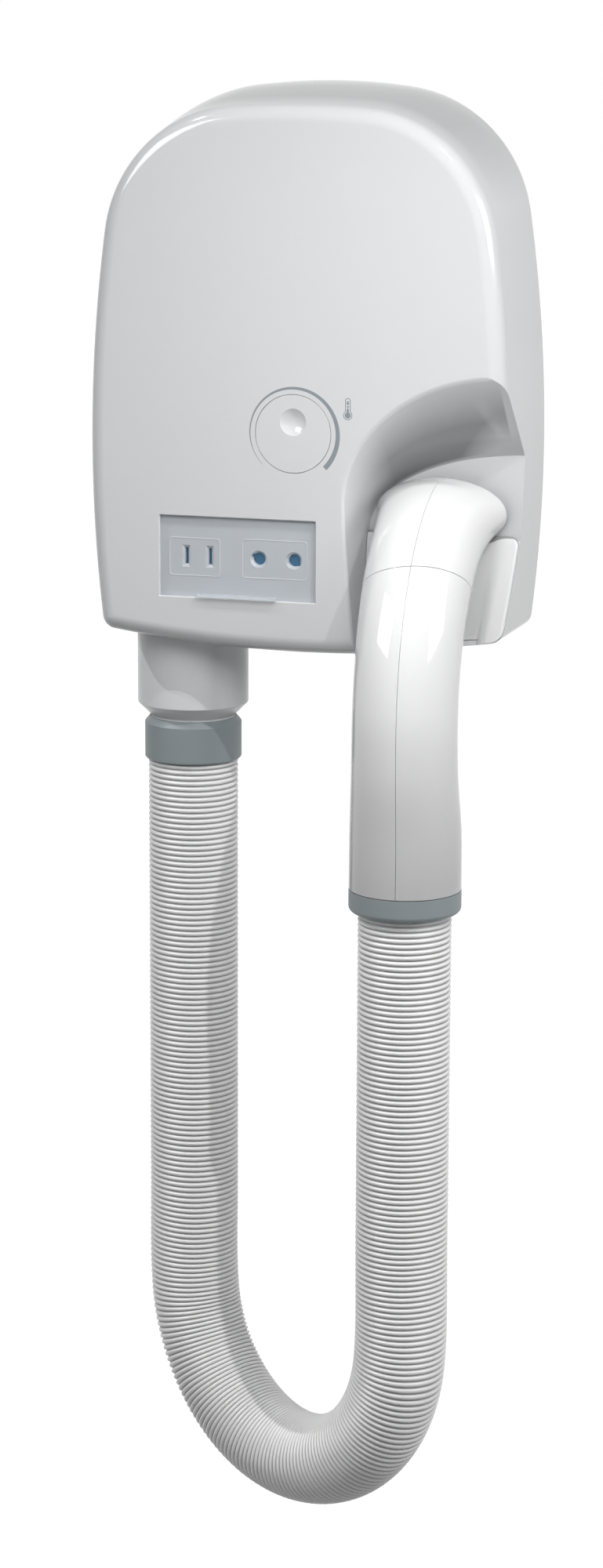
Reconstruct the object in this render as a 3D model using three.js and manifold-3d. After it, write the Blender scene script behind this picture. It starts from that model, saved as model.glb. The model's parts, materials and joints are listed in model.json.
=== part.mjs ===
// A wall-mounted bathroom hair dryer: a housing with a temperature dial and shaver sockets, a bay
// that holds a curved handset, and a ribbed hose from the housing to the handset.
// Millimetres. X to the right, Y into the wall, Z up. The origin is the centre of the wall
// plate's rear face. A depth is measured from the housing's front face towards the wall.
import * as THREE from "three";
import { mergeVertices } from "three/addons/utils/BufferGeometryUtils.js";
import Module from "manifold-3d";

const wasm = await Module();
wasm.setup();

// ---------------------------------------------------------------- driving dimensions

const GAP = 0.3; // between pieces that touch
const WALL = 2.5; // the moulded cover
const PLATE = 2.5; // the wall plate

// The housing's outline: a crown, two shoulders, slightly bowed sides and a bowed bottom.
const HOUSING_DEPTH = 80;
const FRONT_HALF_WIDTH = 111.3;
const SIDE_DRAFT = 1.8; // how much each side widens from front to wall
const SIDE_RADIUS = 790;
const SIDE_CENTRE_Z = -40;
const FRONT_TOP_Z = 136;
const CROWN_RISE = 9.6; // how much the top rises behind the front edge
const FRONT_TOP_RADIUS = 488;
const REAR_TOP_RADIUS = 295;
const SHOULDER_RADIUS = 74.5;
const BOTTOM_Z = -144.2;
const BOTTOM_RADIUS = 700;
const BOTTOM_CORNER_RADIUS = 8;
const FRONT_ROUND = 9; // fillet all round the front face

// The handset's bay, moulded into the lower right of the cover.
const BAY_DEPTH = 40;
const BAY_LIP = 2.5; // fillet of its front edge
const BAY_FRONT = { x: 110, z: -65, wide: 83, high: 66.5, foot: 33.4 };
const BAY_REAR = { x: 115, z: -83, wide: 85, high: 41.5, foot: 33.4 };
const BAY_LEFT = BAY_FRONT.x - BAY_FRONT.wide - 7; // well left of every section of the bay
const BAY_RIGHT = FRONT_HALF_WIDTH + 18.7; // well outside the housing
const BAY_LOW = BOTTOM_Z - 30.8;

// The cradle in the bay.
const CRADLE_TOP_Z = -83;
const CRADLE_TOP_DEPTH = 36;
const CRADLE_FOOT_Z = -141;
const CRADLE_FOOT_DEPTH = 18.5;
const CRADLE_EDGE = 5; // rounding of its top edge
const CRADLE_BRIM = 2.5; // its front laps over the edge of the cover beside and below it
const DISH_TOP_HALF_WIDTH = 37;
const DISH_FOOT_HALF_WIDTH = 24.5;
const DISH_DEPTH = 9;

// The dial and what it turns.
const DIAL_Z = -30;
const DIAL_RADIUS = 20;
const DIAL_RING_GAP = 0.5;
const DIMPLE_RADIUS = 7;
const DIMPLE_DEPTH = 2.2;
const DIMPLE_RISE = 6; // above the dial's centre
const SHAFT_RADIUS = 3;
const SHAFT_FRONT_DEPTH = 5;
const SHAFT_REAR_DEPTH = 21;
const HUB_WALL = 2.5;
const HUB_REAR_DEPTH = 11;
const DIAL_FLANGE = 2.5; // reach of the dial's flange behind the cover
const SWITCH_HALF = 12;
const SWITCH_FRONT_DEPTH = 13;
const SWITCH_NECK_RADIUS = 6;
const BOARD_DEPTH = 30.3;
const BOARD_THICK = 1.6;
const BOARD = { left: -25, right: 23, half: 31 };
const POST = { left: -20, right: 18, half: 26, radius: 3 };

// The shaver sockets behind their flap.
const SOCKET_X = -30;
const SOCKET_Z = -95.8;
const SOCKET_WIDTH = 84.2;
const SOCKET_HEIGHT = 42.2;
const FLAP_THICK = 1.5;
const FLAP_DEPTH = 0.75;
const FLAP_TAB = { wide: 43, high: 3, proud: 4 };
const FLAP_PIN_RADIUS = 0.6;
const FLAT_PIN_PITCH = 12.7;
const FLAT_PIN_X = -52;
const ROUND_PIN_PITCH = 19;
const ROUND_PIN_X = -9.6;
const SLOT = { wide: 1.7, high: 8.5, bevelWide: 4.5, bevelHigh: 11.5 };
const PIN_HOLE = { radius: 3.25, bevelRadius: 4.5 };
const SOCKET_PLATE_THICK = 3;
const SOCKET_BLOCK_HEIGHT = 34;
const SOCKET_BLOCK_DEPTH = 11.5;
const PLATE_FRONT_DEPTH = WALL + GAP;
const PLATE_REAR_DEPTH = PLATE_FRONT_DEPTH + SOCKET_PLATE_THICK;
const BLOCK_REAR_DEPTH = PLATE_REAR_DEPTH + GAP + SOCKET_BLOCK_DEPTH;

// The air outlet and the hose.
const OUTLET_SIDE_ROOM = 9.7; // between the outlet pipe and the cover's side wall
const OUTLET_WALL_ROOM = 0.4; // and the wall plate
// The pipe fills the room between the sockets and the wall plate.
const SPIGOT_RADIUS =
  (HOUSING_DEPTH - BLOCK_REAR_DEPTH - GAP - PLATE - OUTLET_WALL_ROOM) / 2;
const SPIGOT_WALL = 2.45;
const SPIGOT_SHOULDER = 6.4; // height of the cone down to the neck
const OUTLET_X = -(FRONT_HALF_WIDTH - WALL - OUTLET_SIDE_ROOM - SPIGOT_RADIUS);
const OUTLET_Y = -(PLATE + OUTLET_WALL_ROOM + SPIGOT_RADIUS);
const SPIGOT_END_Z = -181;
const HOSE_RADIUS = 24.1;
const NECK_RADIUS = HOSE_RADIUS - 1.3;
const HOSE_CUFF_RADIUS = NECK_RADIUS + 3.1;
const HOSE_CUFF_TOP_Z = -188.6;
const HOSE_CUFF_END_Z = -211.6;
const HOSE_SIDES = 12;

// The handset: an upright handle that bends back into a flared oval head.
const HANDSET_X = 70;
const HANDLE_PROUD = 32; // of the handle's axis before the housing's front
const HANDLE_Y = -HOUSING_DEPTH - HANDLE_PROUD;
const HANDLE_FOOT_Z = -255.4;
const HANDLE_BEND_Z = -175.5;
const MOUTH_DEPTH = 34.5;
const MOUTH_Y = MOUTH_DEPTH - HOUSING_DEPTH;
const MOUTH_Z = -71.6;
const MOUTH_TILT = 80; // degrees of the mouth's axis from upright
const BEND_PULL = 73.9; // how far the bend holds on to the upright
const MOUTH_PULL = 25.4; // and to the mouth's axis
const HEAD_LENGTH = 59.4; // from the joint with the handle to the mouth
const NECK_LENGTH = 62;
const JOINT_LEAN = 0.097; // rise of that joint to the right
const SEAM_OFFSET = 2.6; // of the joint between the halves, to the right of the middle
const SEAM_X = HANDSET_X + SEAM_OFFSET;
const HANDSET_WALL = 2.2;
const HANDLE_RADIUS = 28.85;
const WAIST_RADIUS = 27.2;
const WAIST_BOW = 3.4; // how far the waist bows forward
const NECK_BOW = 1.5;
const MOUTH_HALF_WIDTH = 34.8;
const MOUTH_HALF_HEIGHT = 18.5;
const HANDSET_CUFF_END_Z = -267.3;
const CUFF_COLLAR = 12; // reach of its collar into the handle

// The blower and the heater.
const FAN_OFFSET = 44.5; // of the fan's axis from the outlet's
const FAN_X = OUTLET_X + FAN_OFFSET;
const FAN_Z = 72;
const SCROLL_DEPTH = 44; // from its front to the wall
const SCROLL_FRONT_DEPTH = HOUSING_DEPTH - SCROLL_DEPTH;
const SCROLL_START_RADIUS = 46;
const SCROLL_END_RADIUS = 60;
const SCROLL_WALL = 2;
const SCROLL_OUTLET_WIDE = 32;
const SCROLL_OUTLET = {
  left: FAN_X - SCROLL_END_RADIUS,
  right: FAN_X - SCROLL_END_RADIUS + SCROLL_OUTLET_WIDE,
  end: 8,
};
const INLET_RADIUS = 30;
const WHEEL_RADIUS = 42;
const WHEEL_EYE_RADIUS = 31;
const BLADES = 14;
const HEATER_RADIUS = SPIGOT_RADIUS - SPIGOT_WALL - GAP - 0.05;
const HEATER_END_Z = -61.5;
const COIL_TURNS = 6;
const COIL_WIRE_RADIUS = 1;
const COIL_INSET = 12; // from each end of the heater

// The mains terminals, on the wall plate.
const TERMINAL = { x: 68, z: 70, wide: 40, high: 16, front: -18, pitch: 13 };

// The hose's route from the housing's cuff to the handset's cuff, chosen by hand.
const HOSE_ROUTE = [
  [-69.5, -32.5, -211.9],
  [-69.5, -32.5, -250],
  [-69.5, -32.5, -300],
  [-69.5, -32.5, -350],
  [-69.5, -32.5, -400],
  [-69.5, -32.5, -450],
  [-69.5, -32.5, -500],
  [-67.1, -33.9, -522.5],
  [-60.2, -37.8, -543.5],
  [-49.1, -44.1, -561.5],
  [-34.6, -52.4, -575.3],
  [-17.8, -62, -584],
  [0.2, -72.2, -587],
  [18.3, -82.5, -584],
  [35.1, -92.1, -575.3],
  [49.6, -100.4, -561.5],
  [60.7, -106.7, -543.5],
  [67.6, -110.6, -522.5],
  [70, -112, -500],
  [70, -112, -450],
  [70, -112, -400],
  [70, -112, -350],
  [70, -112, -300],
  [70, -112, -267.6],
];

// ---------------------------------------------------------------- materials

const plastic = (color, roughness = 0.3) =>
  new THREE.MeshStandardMaterial({ color, roughness, metalness: 0 });
const metal = (color, roughness = 0.4) =>
  new THREE.MeshStandardMaterial({ color, roughness, metalness: 1 });

const COLOURS = {
  housing: 0xd8d9db,
  handset: 0xf2f2f1,
  cuff: 0x7c878a,
  spigot: 0xbfc2c4,
  tint: 0xb6c0c8,
  dark: 0x2b3034,
  board: 0x2f6b45,
  copper: 0xb87345,
  steel: 0xb9bcc0,
  brass: 0xb99a55,
  mica: 0xc9b99a,
};

// ---------------------------------------------------------------- solids

const frontY = (depth) => depth - HOUSING_DEPTH;

// A closed mesh as a solid, turned the right way round if its faces point in.
function solid(geometry) {
  const loose = geometry.index ? geometry.toNonIndexed() : geometry;
  const bare = new THREE.BufferGeometry();
  bare.setAttribute("position", loose.getAttribute("position"));
  const merged = mergeVertices(bare, 1e-4);
  const triVerts = new Uint32Array(merged.index.array);
  const vertProperties = merged.attributes.position.array;
  const build = () => new wasm.Manifold(new wasm.Mesh({ numProp: 3, vertProperties, triVerts }));
  const made = build();
  if (made.volume() > 0) return made;
  for (let i = 0; i < triVerts.length; i += 3) {
    [triVerts[i + 1], triVerts[i + 2]] = [triVerts[i + 2], triVerts[i + 1]];
  }
  return build();
}

function geometryOf(shape) {
  const mesh = shape.getMesh();
  const geometry = new THREE.BufferGeometry();
  geometry.setAttribute("position", new THREE.BufferAttribute(mesh.vertProperties, 3));
  geometry.setIndex(new THREE.BufferAttribute(mesh.triVerts, 1));
  geometry.computeVertexNormals();
  return geometry;
}

const unite = (shapes) => shapes.reduce((whole, shape) => whole.add(shape));
const cutAll = (whole, shapes) => shapes.reduce((rest, shape) => rest.subtract(shape), whole);

function box(low, high) {
  const size = high.map((value, i) => value - low[i]);
  const geometry = new THREE.BoxGeometry(...size);
  return solid(geometry.translate(...low.map((value, i) => value + size[i] / 2)));
}

// A profile of [radius, height] pairs turned about an axis through `at`.
const AXIS_TURNS = {
  x: (geometry) => geometry.rotateZ(-Math.PI / 2),
  y: (geometry) => geometry,
  z: (geometry) => geometry.rotateX(Math.PI / 2),
};

function turned(profile, axis, at, sides = 32) {
  const points = profile.map(([radius, height]) => new THREE.Vector2(radius, height));
  const geometry = new THREE.LatheGeometry(points, sides);
  return solid(AXIS_TURNS[axis](geometry).translate(...at));
}

const rod = (radius, from, to, axis, at, sides = 20) =>
  turned([[0, from], [radius, from], [radius, to], [0, to]], axis, at, sides);

const sleeve = (outer, inner, from, to, axis, at, sides = 32) =>
  turned([[inner, from], [outer, from], [outer, to], [inner, to], [inner, from]], axis, at, sides);

// A flat profile extruded along one axis.
const ALONG = {
  x: (u, v, w) => [w, u, v],
  y: (u, v, w) => [u, w, v],
  z: (u, v, w) => [u, v, w],
};

function extruded(shape, from, to, axis) {
  const geometry = new THREE.ExtrudeGeometry(shape, {
    depth: to - from,
    bevelEnabled: false,
    curveSegments: 5,
  });
  const position = geometry.getAttribute("position");
  for (let i = 0; i < position.count; i++) {
    const w = position.getZ(i) + from;
    position.setXYZ(i, ...ALONG[axis](position.getX(i), position.getY(i), w));
  }
  return solid(geometry);
}

const polygon = (points) => new THREE.Shape(points.map(([u, v]) => new THREE.Vector2(u, v)));

const roundSection = (radius, sides) =>
  polygon(Array.from({ length: sides }, (_, i) => {
    const angle = (i / sides) * 2 * Math.PI;
    return [radius * Math.cos(angle), radius * Math.sin(angle)];
  }));

function roundedRect(u, v, wide, high, radius) {
  const [left, right, low, top] = [u - wide / 2, u + wide / 2, v - high / 2, v + high / 2];
  const shape = new THREE.Shape();
  shape.moveTo(left + radius, low);
  shape.lineTo(right - radius, low);
  shape.absarc(right - radius, low + radius, radius, -Math.PI / 2, 0);
  shape.absarc(right - radius, top - radius, radius, 0, Math.PI / 2);
  shape.absarc(left + radius, top - radius, radius, Math.PI / 2, Math.PI);
  shape.absarc(left + radius, low + radius, radius, Math.PI, 1.5 * Math.PI);
  return shape;
}

// A skin through closed rings of equally many points, with a fan over each end.
function loft(rings) {
  const count = rings[0].length;
  const middle = (ring) =>
    ring
      .reduce((sum, point) => sum.map((value, i) => value + point[i]), [0, 0, 0])
      .map((value) => value / ring.length);
  const last = rings.length - 1;
  const points = [...rings.flat(), middle(rings[0]), middle(rings[last])];
  const index = [];
  for (let j = 0; j < count; j++) {
    const next = (j + 1) % count;
    for (let i = 0; i < last; i++) {
      const [a, b] = [i * count + j, i * count + next];
      const [c, d] = [a + count, b + count];
      index.push(a, b, d, a, d, c);
    }
    index.push(points.length - 2, next, j);
    index.push(points.length - 1, last * count + j, last * count + next);
  }
  const geometry = new THREE.BufferGeometry();
  geometry.setAttribute("position", new THREE.Float32BufferAttribute(points.flat(), 3));
  geometry.setIndex(index);
  return solid(geometry);
}

// ---------------------------------------------------------------- the housing's form

// The centre of a circle that touches two larger circles from inside.
function nestedCentre(a, b, radius) {
  const [dx, dz] = [b.x - a.x, b.z - a.z];
  const apart = Math.hypot(dx, dz);
  const [fromA, fromB] = [a.r - radius, b.r - radius];
  const along = (fromA ** 2 - fromB ** 2 + apart ** 2) / (2 * apart);
  const across = Math.sqrt(fromA ** 2 - along ** 2);
  const found = [1, -1].map((side) => ({
    x: a.x + (along * dx - side * across * dz) / apart,
    z: a.z + (along * dz + side * across * dx) / apart,
    r: radius,
  }));
  return found.sort((p, q) => q.x - p.x)[0];
}

function arc(circle, from, to, steps) {
  return Array.from({ length: steps }, (_, i) => {
    const angle = from + ((to - from) * i) / steps;
    return [circle.x + circle.r * Math.cos(angle), circle.z + circle.r * Math.sin(angle)];
  });
}

const bearing = (from, to) => Math.atan2(to.z - from.z, to.x - from.x);

// The outline at a depth, inset by the same distance all round.
function outline(depth, inset) {
  const back = Math.max(depth - FRONT_ROUND, 0) / (HOUSING_DEPTH - FRONT_ROUND);
  const halfWidth = FRONT_HALF_WIDTH + SIDE_DRAFT * back;
  const topZ = FRONT_TOP_Z + CROWN_RISE * Math.sin(1.75 * back);
  const topRadius = THREE.MathUtils.lerp(FRONT_TOP_RADIUS, REAR_TOP_RADIUS, back);
  const side = { x: halfWidth - SIDE_RADIUS, z: SIDE_CENTRE_Z, r: SIDE_RADIUS - inset };
  const top = { x: 0, z: topZ - topRadius, r: topRadius - inset };
  const bottom = { x: 0, z: BOTTOM_Z + BOTTOM_RADIUS, r: BOTTOM_RADIUS - inset };
  const shoulder = nestedCentre(side, top, SHOULDER_RADIUS - inset);
  const corner = nestedCentre(side, bottom, Math.max(BOTTOM_CORNER_RADIUS - inset, 1));
  const half = [
    ...arc(bottom, -Math.PI / 2, bearing(bottom, corner), 4),
    ...arc(corner, bearing(bottom, corner), bearing(side, corner), 3),
    ...arc(side, bearing(side, corner), bearing(side, shoulder), 6),
    ...arc(shoulder, bearing(side, shoulder), bearing(top, shoulder), 8),
    ...arc(top, bearing(top, shoulder), Math.PI / 2, 3),
    [0, topZ - inset],
  ];
  const mirrored = half.slice(1, -1).reverse();
  return [...half, ...mirrored.map(([x, z]) => [-x, z])];
}

const ringAt = (depth, inset) => outline(depth, inset).map(([x, z]) => [x, frontY(depth), z]);

// The housing's body with its rounded front, inset on every side but the rear.
function housingBody(inset, rearDepth) {
  const round = FRONT_ROUND - inset;
  const steps = 4;
  const rings = [];
  for (let i = 0; i <= steps; i++) {
    const turn = ((i / steps) * Math.PI) / 2;
    const back = round * (1 - Math.cos(turn));
    rings.push(ringAt(inset + back, inset + round * (1 - Math.sin(turn))));
  }
  for (const share of [0.3, 0.6, 0.82]) {
    rings.push(ringAt(THREE.MathUtils.lerp(FRONT_ROUND, HOUSING_DEPTH, share), inset));
  }
  rings.push(ringAt(rearDepth, inset));
  return loft(rings);
}

// ---------------------------------------------------------------- the handset's form

const handsetPath = new THREE.CurvePath();
{
  const point = (y, z) => new THREE.Vector3(HANDSET_X, y, z);
  const tilt = THREE.MathUtils.degToRad(MOUTH_TILT);
  const bend = point(HANDLE_Y, HANDLE_BEND_Z);
  const mouth = point(MOUTH_Y, MOUTH_Z);
  handsetPath.add(new THREE.LineCurve3(point(HANDLE_Y, HANDLE_FOOT_Z), bend));
  handsetPath.add(
    new THREE.CubicBezierCurve3(
      bend,
      point(HANDLE_Y, HANDLE_BEND_Z + BEND_PULL),
      point(MOUTH_Y - MOUTH_PULL * Math.sin(tilt), MOUTH_Z - MOUTH_PULL * Math.cos(tilt)),
      mouth,
    ),
  );
}
const HANDSET_LENGTH = handsetPath.getLength();
const HEAD_START = HANDSET_LENGTH - HEAD_LENGTH;

// Half width, half thickness and forward bow along the handset, eased between a few stations.
const neckHalf = WAIST_RADIUS - 0.3;
const handsetSizes = new THREE.CubicInterpolant(
  [0, 30, 62, HANDSET_LENGTH - NECK_LENGTH, HANDSET_LENGTH - 16, HANDSET_LENGTH],
  [
    HANDLE_RADIUS, HANDLE_RADIUS, 0,
    HANDLE_RADIUS - 0.25, HANDLE_RADIUS - 0.25, 0.2,
    WAIST_RADIUS, WAIST_RADIUS, WAIST_BOW,
    neckHalf + 0.6, neckHalf, NECK_BOW,
    neckHalf + 3.4, (neckHalf + MOUTH_HALF_HEIGHT) / 2 + 0.5, 0,
    MOUTH_HALF_WIDTH, MOUTH_HALF_HEIGHT, 0,
  ],
  3,
);
const sizesAt = (along) => [
  ...handsetSizes.evaluate(THREE.MathUtils.clamp(along, 0, HANDSET_LENGTH))];

// Where a point `along` the handset lies, and its up-front direction; past the ends it runs on.
function handsetFrame(along) {
  const share = THREE.MathUtils.clamp(along / HANDSET_LENGTH, 0, 1);
  const tangent = handsetPath.getTangent(share);
  const beyond = along - share * HANDSET_LENGTH;
  const centre = handsetPath.getPoint(share).addScaledVector(tangent, beyond);
  centre.y -= sizesAt(along)[2];
  return { centre, tangent, front: new THREE.Vector3(0, -tangent.z, tangent.y) };
}

// A ring round the handset; with a lean it climbs to the right.
function handsetRing(along, grow, lean, sides = 28) {
  const wide = sizesAt(along)[0];
  return Array.from({ length: sides }, (_, i) => {
    const angle = (i / sides) * 2 * Math.PI;
    const place = along + lean * wide * Math.cos(angle);
    const { centre, front } = handsetFrame(place);
    const sizes = sizesAt(place);
    centre.addScaledVector(front, (sizes[1] + grow) * Math.sin(angle));
    return [centre.x + (sizes[0] + grow) * Math.cos(angle), centre.y, centre.z];
  });
}

function handsetBody(from, to, grow, steps, leans = [0, 0]) {
  const mix = (pair, share) => THREE.MathUtils.lerp(...pair, share);
  return loft(Array.from({ length: steps + 1 }, (_, i) =>
    handsetRing(mix([from, to], i / steps), grow, mix(leans, i / steps))));
}

// A shell of the handset between two places along it, open at both ends.
function handsetShell(from, to, steps, leans) {
  const inside = handsetBody(from - 1, to + 1, -HANDSET_WALL, steps, leans);
  return handsetBody(from, to, 0, steps, leans).subtract(inside);
}

// One side of a shell: the halves meet at an upright plane.
function halfOf(shell, side) {
  const reach = 60;
  const seam = SEAM_X + (side * GAP) / 2;
  const [left, right] = side > 0 ? [seam, seam + reach] : [seam - reach, seam];
  return shell.intersect(box([left, HANDLE_Y - reach, HANDLE_FOOT_Z - reach], [right, 0, 0]));
}

// Moves a solid made in the handset's own directions to a place along it.
function placeOnHandset(shape, along) {
  const { centre, tangent, front } = handsetFrame(along);
  const frame = new THREE.Matrix4().makeBasis(new THREE.Vector3(-1, 0, 0), front, tangent);
  return shape.transform(frame.setPosition(centre).elements);
}

// ---------------------------------------------------------------- the bay

// A section of the bay: straight left wall, quarter ellipse up to the ceiling, open to the
// right and below.
function baySection(depth, grow, flare) {
  const share = THREE.MathUtils.clamp(depth / BAY_DEPTH, 0, 1);
  const mix = (key) => THREE.MathUtils.lerp(BAY_FRONT[key], BAY_REAR[key], share);
  const extra = grow + flare;
  const [x, z, wide, high] = [mix("x"), mix("z"), mix("wide") + extra, mix("high") + extra];
  const steps = 10;
  const points = [[mix("foot") - extra, BAY_LOW], [mix("foot") - extra, BOTTOM_Z]];
  for (let i = 0; i <= steps; i++) {
    const angle = Math.PI - ((i / steps) * Math.PI) / 2;
    points.push([x + wide * Math.cos(angle), z + high * Math.sin(angle)]);
  }
  points.push([BAY_RIGHT, z + high], [BAY_RIGHT, BAY_LOW]);
  return points.map(([px, pz]) => [px, frontY(depth), pz]);
}

function bayBody(grow) {
  const steps = 3;
  const rings = [baySection(-2, grow, BAY_LIP).map(([x, , z]) => [x, frontY(-2), z])];
  for (let i = 0; i <= steps; i++) {
    const turn = ((i / steps) * Math.PI) / 2;
    const back = BAY_LIP * (1 - Math.cos(turn));
    rings.push(baySection(back, grow, BAY_LIP * (1 - Math.sin(turn))));
  }
  for (const share of [0.36, 0.68]) rings.push(baySection(share * BAY_DEPTH, grow, 0));
  rings.push(baySection(BAY_DEPTH + grow, grow, 0));
  return loft(rings);
}

// The side view of the cradle's front, from its rounded top edge down to its foot.
function cradleProfile(topZ, rearDepth, rearGap) {
  const lean = (CRADLE_TOP_DEPTH - CRADLE_FOOT_DEPTH) / (CRADLE_TOP_Z - CRADLE_FOOT_Z);
  const [rear, low] = [frontY(rearDepth - rearGap), BAY_LOW + 5];
  const edgeDepth = CRADLE_TOP_DEPTH - CRADLE_EDGE * lean;
  const shape = new THREE.Shape();
  shape.moveTo(rear, low);
  shape.lineTo(rear, topZ);
  const edgeY = Math.min(frontY(CRADLE_TOP_DEPTH) + 1.5, rear - 0.5);
  shape.lineTo(edgeY, topZ);
  shape.quadraticCurveTo(frontY(CRADLE_TOP_DEPTH), topZ, frontY(edgeDepth), topZ - CRADLE_EDGE);
  shape.lineTo(frontY(CRADLE_FOOT_DEPTH - (CRADLE_FOOT_Z - low) * lean), low);
  return shape;
}

// The part of the cover's side and bottom walls that comes forward beside the cradle.
const CHEEK_TOP_Z = CRADLE_TOP_Z - 3;
function cheekBody() {
  const profile = cradleProfile(CHEEK_TOP_Z, BAY_DEPTH + 4, 0);
  return extruded(profile, BAY_LEFT, BAY_RIGHT, "x").translate([0, CRADLE_BRIM + GAP, 0]);
}

// ---------------------------------------------------------------- sub-parts

const SPIGOT_HOLE = SPIGOT_RADIUS + GAP;
const HOOK_X = HANDSET_X;
const HOOK_RADIUS = 3;
const HOOK_ALONG = HANDSET_LENGTH - 40;

// The centre of the plunger's round tip, just behind the handset.
const hookTip = (() => {
  const { centre, front } = handsetFrame(HOOK_ALONG);
  const thick = sizesAt(HOOK_ALONG)[1];
  return centre.addScaledVector(front, -(thick + HOOK_RADIUS + GAP));
})();

function frontCover() {
  const inside = housingBody(WALL, HOUSING_DEPTH + 1);
  const bay = bayBody(0).subtract(cheekBody().subtract(inside));
  const hollow = inside.subtract(bayBody(WALL));
  const rear = HOUSING_DEPTH - 0.5;
  const shell = housingBody(0, rear).subtract(bay).subtract(hollow);
  const through = [-1, WALL + 1].map(frontY);
  const dialHole = rod(DIAL_RADIUS + DIAL_RING_GAP, ...through, "y", [0, 0, DIAL_Z], 48);
  const socketHole = extruded(
    roundedRect(SOCKET_X, SOCKET_Z, SOCKET_WIDTH, SOCKET_HEIGHT, 0.2), ...through, "y");
  const pinSeat = rod(
    FLAP_PIN_RADIUS + GAP, -SOCKET_WIDTH / 2 - 2.5, SOCKET_WIDTH / 2 + 2.5, "x",
    [SOCKET_X, flapAxis.y, flapAxis.z], 12);
  const spigotHole = rod(
    SPIGOT_HOLE, BOTTOM_Z - 15.8, BOTTOM_Z + 24.2, "z", [OUTLET_X, OUTLET_Y, 0], 36);
  const hookHole = rod(
    HOOK_RADIUS + GAP, frontY(BAY_DEPTH - 3), frontY(BAY_DEPTH + WALL + 1), "y",
    [HOOK_X, 0, hookTip.z]);
  return cutAll(shell, [dialHole, socketHole, pinSeat, spigotHole, hookHole, ...airSlots(),
    ...screwPlaces().map(([x, y]) =>
      rod(1.8, BOTTOM_Z - 5.8, BOTTOM_Z + 14.2, "z", [x, y, 0], 16))]);
}

// Air slots through the bottom wall, between the outlet and the bay.
function airSlots() {
  const [count, pitch, wide, long] = [6, 8, 3, 34];
  return Array.from({ length: count }, (_, i) => {
    const x = -26 + i * pitch;
    const shape = roundedRect(x, -42, wide, long, wide / 2 - 0.01);
    return extruded(shape, BOTTOM_Z - 5.8, BOTTOM_Z + 6.2, "z");
  });
}

const screwPlaces = () => [[-30, -12], [22, -12]];
const SCREW_RADIUS = 1.3;
const SCREW_REACH = 7; // of its point above the boss's foot
const BOSS_LOW = BOTTOM_Z + 7.2;

function backPlate() {
  const inset = WALL + GAP + 0.15;
  const plate = loft([ringAt(HOUSING_DEPTH - PLATE, inset), ringAt(HOUSING_DEPTH, inset)]);
  const boardBack = frontY(BOARD_DEPTH + BOARD_THICK) + GAP;
  const posts = boardPosts().map(([x, z]) => rod(POST.radius, boardBack, -1, "y", [x, 0, z], 16));
  const bosses = screwPlaces().map(([x, y]) => {
    const boss = box([x - 5, y - 5, BOSS_LOW], [x + 5, -1, BOSS_LOW + 9]);
    return boss.subtract(
      rod(SCREW_RADIUS + GAP, BOSS_LOW - 1, BOSS_LOW + SCREW_REACH + 0.4, "z", [x, y, 0], 16));
  });
  const spigotRelief = rod(
    SPIGOT_HOLE, BOTTOM_Z - 15.8, BOTTOM_Z + 44.2, "z", [OUTLET_X, OUTLET_Y, 0], 48);
  const wallHoles = [[-60, 110], [60, 110], [-88, 0], [84, -110]].map(([x, z]) =>
    rod(2.6, -5, 1, "y", [x, 0, z], 16));
  const cableHole = rod(9, -5, 1, "y", [TERMINAL.x, 0, TERMINAL.z - 30], 24);
  return cutAll(unite([plate, ...posts, ...bosses]), [spigotRelief, ...wallHoles, cableHole]);
}

function coverScrew([x, y]) {
  const head = BOTTOM_Z + (x * x) / (2 * BOTTOM_RADIUS) - GAP - 0.1;
  const profile = [[0, head - 1.6], [2.4, head - 1.6], [2.8, head - 0.8], [2.8, head],
    [SCREW_RADIUS, head],
    [SCREW_RADIUS, BOSS_LOW + SCREW_REACH - 1], [0, BOSS_LOW + SCREW_REACH]];
  const slot = box([x - 2.2, y - 0.35, head - 2], [x + 2.2, y + 0.35, head - 0.9]);
  return turned(profile, "z", [x, y, 0], 16).subtract(slot);
}

function cradle() {
  const front = extruded(
    cradleProfile(CRADLE_TOP_Z, BAY_DEPTH, GAP), BAY_LEFT, BAY_RIGHT, "x");
  const brim = front.subtract(front.translate([0, CRADLE_BRIM, 0]));
  const room = housingBody(WALL + GAP, HOUSING_DEPTH);
  const block = front.intersect(room).add(brim.intersect(housingBody(GAP, HOUSING_DEPTH)));
  const ends = [BAY_LOW - 3, CRADLE_TOP_Z + 12];
  const dish = loft([ends[0], CRADLE_FOOT_Z, CRADLE_TOP_Z, ends[1]].map((z) => {
    const up = (z - CRADLE_FOOT_Z) / (CRADLE_TOP_Z - CRADLE_FOOT_Z);
    const half = THREE.MathUtils.lerp(DISH_FOOT_HALF_WIDTH, DISH_TOP_HALF_WIDTH, up);
    const depth = THREE.MathUtils.lerp(CRADLE_FOOT_DEPTH, CRADLE_TOP_DEPTH, up);
    return Array.from({ length: 40 }, (_, i) => {
      const angle = (i / 40) * 2 * Math.PI;
      const y = frontY(depth) + DISH_DEPTH * Math.sin(angle) * Math.min(1, 0.6 + up / 2);
      return [HANDSET_X + half * Math.cos(angle), y, z];
    });
  }));
  const rest = handsetBody(HANDSET_LENGTH - NECK_LENGTH - 20, HANDSET_LENGTH + 0.5, GAP, 9);
  const hookBore = rod(
    HOOK_RADIUS + GAP, frontY(0), frontY(BAY_DEPTH + 10), "y", [HOOK_X, 0, hookTip.z]);
  return cutAll(block.intersect(bayBody(-GAP)), [dish, rest, hookBore]);
}

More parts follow.
